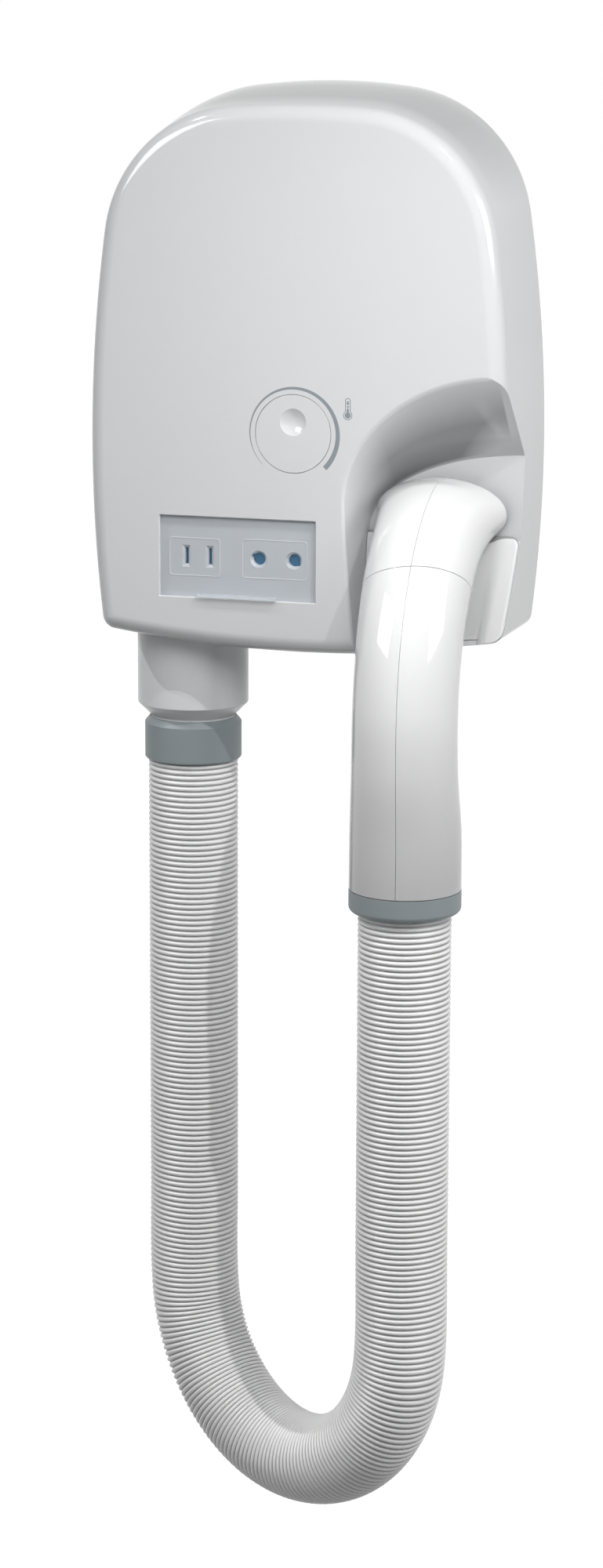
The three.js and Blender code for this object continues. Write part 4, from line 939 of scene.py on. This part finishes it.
class DRYER_OT_stage(bpy.types.Operator):
    """Set up the camera, the soft lights, the pale world and the floor"""

    bl_idname = "dryer.stage"
    bl_label = "Studio"

    LENS, SENSOR = 84.36, 36.0
    CAMERA_PLACE = (0.53733, -1.86965, 0.19544)
    CAMERA_TURN = (0.28897, 0.21502, 0.00382)
    LIGHT_TARGET = Vector((0, -0.06, -0.15))
    FILL = 0.13

    def execute(self, context):
        self.camera(context)
        self.lights()
        self.world(context)
        self.floor()
        context.scene.view_settings.view_transform = "Standard"
        return {"FINISHED"}

    def camera(self, context):
        data = bpy.data.cameras.new("camera")
        data.lens, data.sensor_width = self.LENS, self.SENSOR
        data.clip_start, data.clip_end = 0.05, 60.0
        camera = linked("camera", data)
        yaw, pitch, roll = self.CAMERA_TURN
        forward = Vector((-sin(yaw) * cos(pitch), cos(yaw) * cos(pitch),
                          -sin(pitch)))
        right = Vector((cos(yaw), sin(yaw), 0))
        up = right.cross(forward)
        turned_right = right * cos(roll) + up * sin(roll)
        turned_up = up * cos(roll) - right * sin(roll)
        turn = Matrix((turned_right, turned_up, -forward)).transposed()
        camera.matrix_world = Matrix.Translation(self.CAMERA_PLACE) @ turn.to_4x4()
        context.scene.camera = camera

    def toward(self, azimuth, elevation):
        """The direction of a light; azimuth 0 is straight in front and grows to the right."""
        turn, rise = radians(azimuth), radians(elevation)
        return Vector((sin(turn) * cos(rise), -cos(turn) * cos(rise),
                       sin(rise)))

    def lamp(self, name, kind, azimuth, elevation, level):
        """A lamp that shines from a direction. Level 1 lights a facing surface as coloured."""
        data = bpy.data.lights.new(name, kind)
        data.energy = level * pi
        light = linked(name, data)
        away = self.toward(azimuth, elevation)
        light.rotation_mode = "QUATERNION"
        light.rotation_quaternion = (-away).to_track_quat("-Z", "Y")
        return light, away

    def key(self, name, azimuth, elevation, level):
        """A far small light: its shadows have crisp edges."""
        light, _ = self.lamp(name, "SUN", azimuth, elevation, level)
        light.data.angle = radians(0.5)

    def softbox(self, name, azimuth, elevation, level, distance, size, gleam=False):
        """A soft lamp, or one that is only seen as a gleam."""
        light, away = self.lamp(name, "AREA", azimuth, elevation, level)
        light.data.energy *= pi * distance ** 2
        light.data.shape = "RECTANGLE"
        light.data.size, light.data.size_y = size
        light.location = self.LIGHT_TARGET + away * distance
        light.visible_glossy, light.visible_diffuse = gleam, not gleam
        light.visible_camera = False

    def lights(self):
        self.key("right_key", 52, 50, 0.25)
        self.key("left_key", -60, 50, 0.22)
        self.softbox("left_light", -44, 30, 0.14, 1.7, (1.0, 0.8))
        self.softbox("right_light", 76, 24, 0.27, 1.7, (0.95, 0.75))
        self.softbox("top_light", 0, 36, 0.05, 0.45, (0.2, 0.2))
        self.softbox("upper_light", 25, 36, 0.34, 0.47, (0.2, 0.2))
        self.softbox("side_light", 55, 34, 0.07, 0.5, (0.2, 0.2))
        self.softbox("left_gleam", -44, 28, 0.65, 1.7, (0.9, 0.6), gleam=True)
        self.softbox("right_gleam", 76, 22, 0.65, 1.7, (0.9, 0.65), gleam=True)

    def world(self, context):
        world = bpy.data.worlds.new("studio")
        world.use_nodes = True
        context.scene.world = world
        tree = NodeTree(world.node_tree)
        background = world.node_tree.nodes["Background"]
        tree.put(background.inputs["Color"], (1.0, 1.0, 1.0, 1.0))
        tree.put(background.inputs["Strength"], self.FILL + self.seen(tree) * (1 - self.FILL))

    def seen(self, tree):
        """1 for what the camera, a reflection or clear plastic shows, and 0 for fill light."""
        camera, glossy, through = (
            tree.node("ShaderNodeLightPath", output=output) for output in (0, 3, 6))
        return (camera + glossy + through).clamped()

    def floor(self):
        bpy.ops.object.select_all(action="DESELECT")
        bpy.ops.mesh.primitive_plane_add(size=16, location=(0, 2, CAD_BOX[0].z - 0.06))
        floor = bpy.context.object
        floor.name = "floor"
        made = Finish("floor_paper", (0.85, 0.85, 0.85), roughness=0.9)
        seen = self.seen(made)
        grain = made.blend(made.noise(400), made.shade(0.98), made.shade(1.0))
        made.paint(seen, made.shade(0.2), grain)
        paper = made.node("ShaderNodeEmission", {}, {"Color": (1, 1, 1, 1), "Strength": 1.2})
        lit = Value(made, made.shader.outputs[0])
        both = made.node("ShaderNodeMixShader", {}, {0: seen * 0.8, 1: lit, 2: paper})
        made.put(made.tree.nodes["Material Output"].inputs["Surface"], both)
        floor.data.materials.append(made.material)


class DRYER_OT_hose(bpy.types.Operator):
    """Build the ribbed hose: one rib, repeated, and bent along its route"""

    bl_idname = "dryer.hose"
    bl_label = "Hose"

    def execute(self, context):
        route = self.centre_line()
        length = sum((b - a).length for a, b in zip(route, route[1:]))
        count = round(length / (sizes().rib_pitch / MM))
        pitch = length / count
        hose = self.rib(pitch)
        with_modifier(
            hose, "ARRAY", count=count, use_relative_offset=False, use_constant_offset=True,
            constant_offset_displace=(0, 0, pitch * MM), use_merge_vertices=True,
            merge_threshold=1e-6)
        self.bend(hose, route)
        with editing(hose, "EDGE"):
            bpy.ops.mesh.select_all(action="DESELECT")
            bpy.ops.mesh.select_non_manifold()
            bpy.ops.mesh.fill()
            turn_outward()
        self.mark_crests(hose, route)
        only(hose)
        bpy.ops.object.shade_smooth_by_angle(angle=radians(60))
        hose.data.materials.append(finish_of("hose_plastic"))
        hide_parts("hose")
        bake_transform(hose)
        return {"FINISHED"}

    def centre_line(self):
        """Points close together on a smooth curve through the route."""
        points = [Vector(point) for point in HOSE_ROUTE]
        ends = [2 * points[0] - points[1], *points, 2 * points[-1] - points[-2]]
        line, steps = [], 16
        for a, b, c, d in zip(ends, ends[1:], ends[2:], ends[3:]):
            ta = sqrt((b - a).length)
            tb = ta + sqrt((c - b).length)
            tc = tb + sqrt((d - c).length)
            for i in range(steps):
                t = mixed(ta, tb, i / steps)
                one = a.lerp(b, t / ta)
                two = b.lerp(c, (t - ta) / (tb - ta))
                three = c.lerp(d, (t - tb) / (tc - tb))
                left = one.lerp(two, t / tb)
                right = two.lerp(three, (t - ta) / (tc - ta))
                line.append(left.lerp(right, (t - ta) / (tb - ta)))
        return line + [points[-1]]

    def rib(self, pitch):
        """One rib: a round crest between two half grooves, as a short open tube."""
        radius, depth = sizes().hose_radius / MM, sizes().rib_depth / MM
        bpy.ops.object.select_all(action="DESELECT")
        bpy.ops.mesh.primitive_circle_add(vertices=44, radius=(radius - depth) * MM)
        rib = bpy.context.object
        rib.name = rib.data.name = "hose_ribbed"
        heights = [0.1, 0.24, 0.5, 0.76, 0.9, 1.0]
        radii = [radius - depth * (1 - share) for share in (0.12, 0.72, 1.0, 0.72, 0.12, 0)]
        before_z, before_r = 0.0, radius - depth
        with editing(rib, "EDGE"):
            bpy.ops.mesh.select_all(action="SELECT")
            for share, ring in zip(heights, radii):
                step = (share - before_z) * pitch * MM
                bpy.ops.mesh.extrude_edges_move(TRANSFORM_OT_translate={"value": (0, 0, step)})
                grow = ring / before_r
                bpy.ops.transform.resize(value=(grow, grow, 1))
                before_z, before_r = share, ring
        return rib

    def bend(self, hose, route):
        """Bends the straight hose along its route with a curve."""
        data = bpy.data.curves.new("hose_route", "CURVE")
        data.dimensions = "3D"
        data.twist_mode = "MINIMUM"
        spline = data.splines.new("POLY")
        spline.points.add(len(route) - 1)
        for point, place in zip(spline.points, route):
            point.co = (*(place * MM), 1)
        curve = linked("hose_route", data)
        with_modifier(hose, "CURVE", object=curve, deform_axis="POS_Z")
        bpy.data.objects.remove(curve)

    def mark_crests(self, hose, route):
        """Writes how near each point is to the crest of its rib."""
        line = [point * MM for point in route]
        attribute = hose.data.attributes.new("crest", "FLOAT", "POINT")
        depth = sizes().rib_depth
        groove = sizes().hose_radius - depth
        tree = KDTree(len(line))
        for i, point in enumerate(line):
            tree.insert(point, i)
        tree.balance()
        values = []
        for vertex in hose.data.vertices:
            _, i, _ = tree.find(vertex.co)
            ahead = line[min(i + 1, len(line) - 1)] - line[max(i - 1, 0)]
            away = vertex.co - line[i]
            away -= ahead * (away.dot(ahead) / ahead.length_squared)
            values.append(min(max((away.length - groove) / depth, 0), 1))
        attribute.data.foreach_set("value", values)


class DRYER_OT_cover(bpy.types.Operator):
    """Build the moulded cover with the handset's bay, the dial's hole and the socket window"""

    bl_idname = "dryer.cover"
    bl_label = "Cover"

    def execute(self, context):
        cover = housing_body("cover", 0, REAR_DEPTH)
        cut(cover, self.bay(), self.hollow(), *self.holes())
        done(cover, "housing", "cover_plastic", ["front_cover"], angle=24)
        return {"FINISHED"}

    def bay(self):
        """The bay, less the part of the side and bottom walls that rises beside the cradle."""
        setback = CRADLE_BRIM + GAP
        profile = [(y + setback, z)
                   for y, z in cradle_profile(CRADLE_TOP_Z - 3, BAY_DEPTH + 4)]
        cheek = prism("cheek", profile, 20, BAY_RIGHT, "X")
        cut(cheek, housing_body("inside", WALL, HOUSING_DEPTH + 1))
        return cut(bay_body("bay", 0), cheek)

    def hollow(self):
        inside = housing_body("inside", WALL, HOUSING_DEPTH + 1)
        return cut(inside, bay_body("bay_wall", WALL))

    def holes(self):
        """Cutters for the dial, the sockets, the pipe, the plunger, the air and the screws."""
        chamfer, radius = 0.05, DIAL_RADIUS + 0.28
        dial = spun(
            "dial_hole",
            [(0, -1), (radius + chamfer + 1, -1), (radius, chamfer), (radius, 5), (0, 5)],
            (0, front_y(0), DIAL.z), "Y", steps=128)
        window_edge = 0.45
        window = skinned("window", [
            [(x, front_y(depth), z) for x, z in rounded_box(
                SOCKET_X, SOCKET_Z, SOCKET_WIDTH + 2 * grow, SOCKET_HEIGHT + 2 * grow, 0.3 + grow)]
            for depth, grow in ((-1, 1 + window_edge), (window_edge, 0), (5, 0))])
        spigot = rod("spigot_hole", SPIGOT_RADIUS + GAP, -160, -120, (OUTLET.x, OUTLET.y, 0),
                     steps=96)
        hook = rod("hook_hole", PLUNGER_RADIUS + GAP, -60, -30, PLUNGER_AXIS, "Y", 32)
        first_x, y, pitch, width, length, corner = -26, -42, 8, 3, 34, 1.45
        slots = [prism("slot", rounded_box(first_x + pitch * i, y, width, length, corner),
                       -150, -138, "Z") for i in range(6)]
        screw_radius = 1.8
        screws = [rod("screw_hole", screw_radius, -150, -130,
                      (*middle(f"cover_screw_{side}").xy, 0)) for side in ("left", "right")]
        return [dial, window, spigot, hook, *slots, *screws]


class DRYER_OT_cradle(bpy.types.Operator):
    """Build the dished white cradle in the bay and its plunger"""

    bl_idname = "dryer.cradle"
    bl_label = "Cradle and plunger"

    def execute(self, context):
        cradle = self.front()
        joined_by(cradle, bay_body("bay_space", -GAP), "INTERSECT")
        joined_by(cradle, self.limit(), "INTERSECT")
        rest = handset_body("rest", LINE.length - NECK_LENGTH - 20, LINE.length + 0.5, GAP)
        bore = rod("bore", PLUNGER_RADIUS + GAP, -80, -30, PLUNGER_AXIS, "Y", 32)
        cut(cradle, rest, bore)
        done(cradle, "housing", "handset_plastic", ["cradle"], angle=28)
        self.plunger()
        return {"FINISHED"}

    def limit(self):
        """The room the cradle may fill, with its rounded brim over the edge of the cover."""
        brim_round, corner_radius, mean_depth, left = 1.2, 5.0, 27.0, 20.0
        steps = [(-6, GAP + brim_round)]
        steps += [(back + 0.02, GAP + inward) for back, inward in fillet(brim_round, 4)]
        steps += [(CRADLE_BRIM, GAP), (CRADLE_BRIM, WALL + GAP), (30, WALL + GAP)]
        rings = []
        for offset, inset in steps:
            bottom, corner, side, _, _ = outline_circles(mean_depth, inset)
            radius = corner_radius - inset
            side_end = asin((CRADLE_TOP_Z - inset - radius - side[1]) / side[2])
            points = [
                *arc(bottom, -acos(left / bottom[2]), bearing(bottom, corner), 8),
                *arc(corner, bearing(bottom, corner), bearing(side, corner), 8),
                *arc(side, bearing(side, corner), side_end, 8)]
            x, z = around(*side, side_end)
            points += arc((x - radius, z, radius), 0, pi / 2, 8)
            points += [(x - radius, z + radius), (left, z + radius)]
            ring = []
            for x, z in points:
                depth = cradle_depth(z) + offset
                drift = SIDE_DRAFT * (depth - mean_depth) / (HOUSING_DEPTH - FRONT_ROUND)
                ring.append((x + (drift if x > left else 0), front_y(depth), z))
            rings.append(ring)
        return skinned("cradle_limit", rings)

    def dish(self, x, z):
        """How far the dish sinks below the cradle's leaning front."""
        up = (z - CRADLE_FOOT_Z) / (CRADLE_TOP_Z - CRADLE_FOOT_Z)
        half = mixed(DISH_FOOT_HALF_WIDTH, DISH_TOP_HALF_WIDTH, up)
        spread, samples = 0.09, 9
        total = 0.0
        for i in range(samples):
            across = (x - HANDSET_X) / half + spread * (2 * i / (samples - 1) - 1)
            total += sqrt(max(0.0, 1 - across * across))
        return mixed(DISH_FOOT_DEPTH, DISH_TOP_DEPTH, up) * total / samples

    def front(self):
        """The cradle's block, its front face rounded over at the top and dished."""
        rear, columns = front_y(BAY_DEPTH - GAP), [20 + 110 * i / 88 for i in range(89)]
        curve = cradle_profile(CRADLE_TOP_Z, BAY_DEPTH)[2:-1]
        lean = [curve[-1][1] - 3.0 * i for i in range(1, 22)]
        rows = curve + [(front_y(cradle_depth(z)), z) for z in lean]
        rings = []
        for y, z in rows:
            ring = [(x, min(y + self.dish(x, z), rear - 0.3), z) for x in columns]
            rings.append(ring + [(columns[-1], rear, z), (columns[0], rear, z)])
        return skinned("cradle_dished", rings)

    def plunger(self):
        radius, front, rear = PLUNGER_RADIUS, low("hook_plunger").y, high("hook_plunger").y
        tip = [(radius * sin(radians(6 * i)),
                front + radius - radius * cos(radians(6 * i))) for i in range(16)]
        piece = spun("plunger", [*tip, (radius, rear), (0, rear)], PLUNGER_AXIS, "Y", steps=40)
        done(piece, "plunger", "cuff_plastic", ["hook_plunger"])


class DRYER_OT_dial(bpy.types.Operator):
    """Build the dial with its finger dimple, and print the scale and the thermometer"""

    bl_idname = "dryer.dial"
    bl_label = "Dial and print"

    THERMOMETER_X = 29.0

    def execute(self, context):
        self.dial()
        self.scale()
        self.thermometer()
        return {"FINISHED"}

    def dial(self):
        """A disc with a skirt behind the cover and a hub for its shaft."""
        radius, skirt, shaft = DIAL_RADIUS, WALL + GAP, 3 + GAP
        edge, flange, thick, hub, hub_end, floor = 0.12, 2.5, 1.4, 5.5, 11, 5
        profile = [(0, 0), (radius - edge, 0), (radius, edge), (radius, skirt),
                   (radius + flange, skirt), (radius + flange, skirt + thick),
                   (hub, skirt + thick), (hub, hub_end), (shaft, hub_end), (shaft, floor),
                   (0, floor)]
        dial = spun("dial_disc", profile, (0, front_y(0), DIAL.z), "Y", steps=128)
        reach, sunk, rise = 7.0, 2.2, 6.0
        ball = (reach ** 2 + sunk ** 2) / (2 * sunk)
        bpy.ops.object.select_all(action="DESELECT")
        bpy.ops.mesh.primitive_uv_sphere_add(
            segments=96, ring_count=128, radius=ball * MM,
            location=Vector((0, front_y(sunk - ball), DIAL.z + rise)) * MM,
            rotation=(pi / 2, 0, 0))
        sphere = bpy.context.object
        bpy.ops.object.transform_apply(location=True, rotation=True, scale=True)
        cut(dial, sphere)
        done(dial, "dial", "cover_plastic", ["dial"], angle=16)

    def printed(self, name, points, faces):
        """A flat film of ink on the housing's front."""
        film = drawn(name, [(x, front_y(-0.01), z) for x, z in points], faces=faces)
        with editing(film, "FACE"):
            bpy.ops.mesh.select_all(action="SELECT")
            bpy.ops.mesh.extrude_region_move(
                TRANSFORM_OT_translate={"value": (0, -0.03 * MM, 0)})
            turn_outward()
        done(film, "housing", "print_ink")

    def scale(self):
        """A band round the dial that widens clockwise, from cool to hot."""
        inner, widest, steps = sizes().scale_radius / MM, sizes().scale_width / MM, 120
        points = []
        for i in range(steps + 1):
            share = i / steps
            angle = radians(225 - 270 * share)
            for radius in (inner, inner + mixed(0.15, widest, share)):
                points.append(around(0, DIAL.z, radius, angle))
        faces = [(2 * i, 2 * i + 1, 2 * i + 3, 2 * i + 2) for i in range(steps)]
        self.printed("scale_print", points, faces)

    def bulb_outline(self, stem, bulb, top_z, bulb_z, steps=24):
        """A thermometer's outline: a round bulb under a round-topped stem."""
        x = self.THERMOMETER_X
        open_half = asin(stem / bulb)
        points = []
        for i in range(2 * steps + 1):
            angle = pi / 2 - open_half - i / (2 * steps) * 2 * (pi - open_half)
            points.append(around(x, bulb_z, bulb, angle))
        for i in range(steps + 1):
            angle = pi - pi * i / steps
            points.append(around(x, top_z - stem, stem, angle))
        return points

    def thermometer(self):
        top, bulb_z, line = -10.7, -19.5, 0.42
        outer = self.bulb_outline(1.45, 2.4, top, bulb_z)
        inner = self.bulb_outline(1.45 - line, 2.4 - line, top - line, bulb_z)
        count = len(outer)
        faces = [(i, (i + 1) % count, count + (i + 1) % count, count + i) for i in range(count)]
        self.printed("thermometer_rim_print", outer + inner, faces)
        filled = self.bulb_outline(0.55, 1.55, -15.9, bulb_z)
        self.printed("thermometer_bulb_print", filled, [tuple(range(len(filled)))])
        for name, upper, lower in (("low", -14.7, -15.5), ("high", -12.3, -14.2)):
            mark = rounded_box(self.THERMOMETER_X, (upper + lower) / 2, 1.1, upper - lower, 0.2, 3)
            self.printed(f"thermometer_{name}_print", mark, [tuple(range(len(mark)))])


class DRYER_OT_sockets(bpy.types.Operator):
    """Build the socket plate with its bevelled pin holes, the shutters and the clear flap"""

    bl_idname = "dryer.sockets"
    bl_label = "Sockets and flap"

    FRONT = WALL + GAP
    THICK = 3.0
    CONE = 1.3
    LOBE_RADIUS, LOBE_REACH = 1.1, 3.2

    def execute(self, context):
        self.plate()
        self.shutters()
        self.flap()
        return {"FINISHED"}

    def bevelled_slot(self, x):
        """The cutter for a flat pin: a wide mouth that narrows to a slot."""
        mouth, slot = (4.9, 11.9), (1.7, 8.5)
        return skinned("slot", [
            [(px, front_y(self.FRONT + depth), pz)
             for px, pz in rounded_box(x, SOCKET_Z, *size, 0.12, 2)]
            for size, depth in ((mouth, -0.2), (slot, self.CONE), (slot, self.THICK + 1))])

    def bevelled_hole(self, x):
        """The cutter for a round pin: a wide mouth that narrows to a hole."""
        radius, mouth, rear = 3.25, 4.7, self.THICK + 1
        profile = [(0, -0.2), (mouth, -0.2), (radius, self.CONE), (radius, rear), (0, rear)]
        return spun("hole", profile, (x, front_y(self.FRONT), SOCKET_Z), "Y", steps=48)

    def lobe(self, x, angle):
        """The small side lobe of a round hole, for its key."""
        x, z = around(x, SOCKET_Z, self.LOBE_REACH, radians(angle))
        return rod("lobe", self.LOBE_RADIUS, self.FRONT + 0.5, self.FRONT + self.THICK + 1,
                   (x, front_y(0), z), "Y")

    def border(self, left, right, lower, upper):
        """A thin raised line round a pair of openings."""
        half, rise = sizes().border_width / MM / 2, 0.22
        x, z, wide, tall = (left + right) / 2, (lower + upper) / 2, right - left, upper - lower
        rings = []
        for grow, depth in ((-half, 0.1), (-half * 0.4, -rise), (half * 0.4, -rise), (half, 0.1)):
            rings.append([(px, front_y(self.FRONT + depth), pz) for px, pz in rounded_box(
                x, z, wide + 2 * grow, tall + 2 * grow, 1.8 + grow)])
        count = len(rings[0])
        points = [point for ring in rings for point in ring]
        faces = []
        for a in range(4):
            b = (a + 1) % 4
            faces += [(a * count + j, a * count + (j + 1) % count, b * count + (j + 1) % count,
                       b * count + j) for j in range(count)]
        ring = drawn("border", points, faces=faces)
        with editing(ring, "FACE"):
            turn_outward()
        return ring

    def plate(self):
        plate = prism("socket_face", rounded_box(
            SOCKET_X, SOCKET_Z, SOCKET_WIDTH + 5, SOCKET_HEIGHT + 5, 2),
            front_y(self.FRONT), front_y(self.FRONT + self.THICK), "Y")
        hinge = (0, front_y((FLAP_FRONT + FLAP_REAR) / 2), FLAP_AXIS_Z)
        relief = rod("relief", 1.2, -75, 15, hinge, "X")
        cut(plate, relief, *map(self.bevelled_slot, FLAT_PINS),
            *map(self.bevelled_hole, ROUND_PINS),
            self.lobe(ROUND_PINS[0], 150), self.lobe(ROUND_PINS[1], -40))
        for sides in BORDERS:
            joined_by(plate, self.border(*sides), "UNION")
        done(plate, "housing", "socket_plastic", ["socket_plate"], angle=20)

    def shutters(self):
        """Thin sliding shutters that show in the openings."""
        front, rear = front_y(self.FRONT + self.THICK + 0.08), front_y(self.FRONT + 3.5)
        for name, pins, reach in (("flat", FLAT_PINS, 6.0), ("round", ROUND_PINS, 5.5)):
            left, right = min(pins) - reach, max(pins) + reach
            shutter = brick(f"shutter_{name}", (left, front, SOCKET_Z - 7),
                            (right, rear, SOCKET_Z + 7))
            bevelled(shutter, 0.08, 2)
            done(shutter, "housing", "shutter_plastic")

    def flap(self):
        left, right = SOCKET_X - SOCKET_WIDTH / 2 + GAP, SOCKET_X + SOCKET_WIDTH / 2 - GAP
        lower, front, rear = FLAP_LOW.z, front_y(FLAP_FRONT), front_y(FLAP_REAR)
        axis_y, round_edge = (front + rear) / 2, (rear - front) / 2
        profile = [(front, lower + 0.3), (front + 0.3, lower), (rear - 0.1, lower),
                   (rear, lower + 0.1), (rear, FLAP_AXIS_Z)]
        profile += [around(axis_y, FLAP_AXIS_Z, round_edge, pi * i / 12) for i in range(1, 13)]
        flap = prism("flap_panel", profile, left, right, "X")
        tab = brick("tab", (SOCKET_X - TAB_HALF_WIDTH, FLAP_LOW.y, lower),
                    (SOCKET_X + TAB_HALF_WIDTH, front + 0.5, lower + TAB_HEIGHT))
        bevelled(tab, 0.35, 3)
        joined_by(flap, tab, "UNION")
        radius, edge, start, end = 0.6, 0.1, left - 1.9, right + 1.9
        pin = spun("pin", [(0, start), (radius - edge, start), (radius, start + edge),
                           (radius, end - edge), (radius - edge, end), (0, end)],
                   (0, axis_y, FLAP_AXIS_Z), "X", 24)
        joined_by(flap, pin, "UNION")
        done(flap, "flap", "tinted_flap", ["socket_flap"], angle=25)


class DRYER_OT_outlet(bpy.types.Operator):
    """Build the outlet pipe and the two swivel cuffs of the hose"""

    bl_idname = "dryer.outlet"
    bl_label = "Outlet pipe and cuffs"

    def execute(self, context):
        self.spigot()
        self.hose_cuff()
        self.handset_cuff()
        return {"FINISHED"}

    def tube(self, name, profile, axis, edge, edge_angle, body, slot, node):
        """A turned tube with slightly rounded edges."""
        tube = spun(name, profile, (*axis.xy, 0), steps=128, closed=True)
        bevelled(tube, edge, 2, edge_angle)
        done(tube, body, slot, [node], angle=40)

    def spigot(self):
        top, bore, shoulder = high("hose_spigot").z, 27.2, -181.0
        neck_top = shoulder - (SPIGOT_RADIUS - NECK_RADIUS) + 0.4
        end = low("hose_spigot").z
        profile = [(bore, top), (SPIGOT_RADIUS, top), (SPIGOT_RADIUS, shoulder),
                   (NECK_RADIUS + 0.4, neck_top), (NECK_RADIUS, neck_top - 0.6),
                   (NECK_RADIUS, end), (NECK_RADIUS - 2, end), (NECK_RADIUS - 2, neck_top),
                   (bore, shoulder + 2)]
        self.tube("outlet_pipe", profile, OUTLET, 0.2, 25, "housing", "spigot_plastic",
                  "hose_spigot")

    def hose_cuff(self):
        outer = (high("hose_cuff").x - low("hose_cuff").x) / 2
        top, end, bore = high("hose_cuff").z, low("hose_cuff").z, NECK_RADIUS + GAP
        profile = [(bore, top), (outer, top - 3.4), (outer, end + 0.8), (outer - 0.8, end),
                   (NECK_RADIUS - 1.5, end), (NECK_RADIUS - 1.5, end + 3), (bore, end + 3)]
        self.tube("upper_cuff", profile, OUTLET, 0.15, 25, "hose_cuff", "cuff_plastic",
                  "hose_cuff")

    def handset_cuff(self):
        outer, end = HANDLE_RADIUS, low("handset_cuff").z
        top, collar = HANDLE_FOOT_Z - GAP, HANDLE_RADIUS - HANDSET_WALL - 2 * GAP
        bore, rim = sizes().hose_radius / MM - 2, high("handset_cuff").z
        fillet_radius = 2.8
        profile = [(bore, end)]
        profile += [around(outer - fillet_radius, end + fillet_radius, fillet_radius,
                           radians(15 * i - 90)) for i in range(7)]
        profile += [(outer, top), (collar, top), (collar, rim), (bore, rim)]
        self.tube("lower_cuff", profile, Vector((HANDSET_X, HANDLE_Y, 0)), 0.15, 40,
                  "handset_cuff", "cuff_plastic", "handset_cuff")


class DRYER_OT_handset(bpy.types.Operator):
    """Build the four shells of the handset, with their seams and the rounded mouth"""

    bl_idname = "dryer.handset"
    bl_label = "Handset"

    def execute(self, context):
        seam, edge, lip = 0.12, 0.12, 1.0
        for name, side in (("left", -1), ("right", 1)):
            handle = half_shell(f"handle_shell_{name}", side, (0, HEAD_START - seam),
                                (0.3, edge), (0, JOINT_LEAN), 60)
            done(handle, "handset", "handset_plastic", [f"handle_{name}"], angle=40)
            head = half_shell(f"head_shell_{name}", side, (HEAD_START + seam, LINE.length),
                              (edge, lip), (JOINT_LEAN, 0), 40)
            done(head, "handset", "handset_plastic", [f"head_{name}"], angle=40)
        return {"FINISHED"}


class DRYER_OT_inside(bpy.types.Operator):
    """Give every piece kept from the frame its finish"""

    bl_idname = "dryer.inside"
    bl_label = "Kept pieces"

    def execute(self, context):
        for entry in frame["record"]["subparts"]:
            node = frame["nodes"][entry["node"]]
            node.data.materials.clear()
            node.data.materials.append(finish_of(entry["material_slot"]))
        return {"FINISHED"}


# ------------------------------------------------------------------ the add-on

STEPS = (
    DRYER_OT_stage,
    DRYER_OT_hose,
    DRYER_OT_cover,
    DRYER_OT_cradle,
    DRYER_OT_dial,
    DRYER_OT_sockets,
    DRYER_OT_outlet,
    DRYER_OT_handset,
    DRYER_OT_inside,
)


class DRYER_PT_build(bpy.types.Panel):
    """Lists the steps that build the dryer, with its sizes and colours"""

    bl_idname = "DRYER_PT_build"
    bl_label = "Hair dryer"
    bl_space_type = "VIEW_3D"
    bl_region_type = "UI"
    bl_category = "Dryer"

    def draw(self, context):
        for group in (context.scene.dryer_sizes, context.scene.dryer_colours):
            column = self.layout.column()
            for name in group.__annotations__:
                column.prop(group, name)
        for step in STEPS:
            self.layout.operator(step.bl_idname)


CLASSES = (DryerSizes, DryerColours, *STEPS, DRYER_PT_build)


def register():
    for item in CLASSES:
        bpy.utils.register_class(item)
    bpy.types.Scene.dryer_sizes = PointerProperty(type=DryerSizes)
    bpy.types.Scene.dryer_colours = PointerProperty(type=DryerColours)


def unregister():
    del bpy.types.Scene.dryer_colours
    del bpy.types.Scene.dryer_sizes
    for item in reversed(CLASSES):
        bpy.utils.unregister_class(item)


def main():
    register()
    for step in STEPS:
        group, name = step.bl_idname.split(".")
        getattr(getattr(bpy.ops, group), name)()


if __name__ == "__main__":
    main()
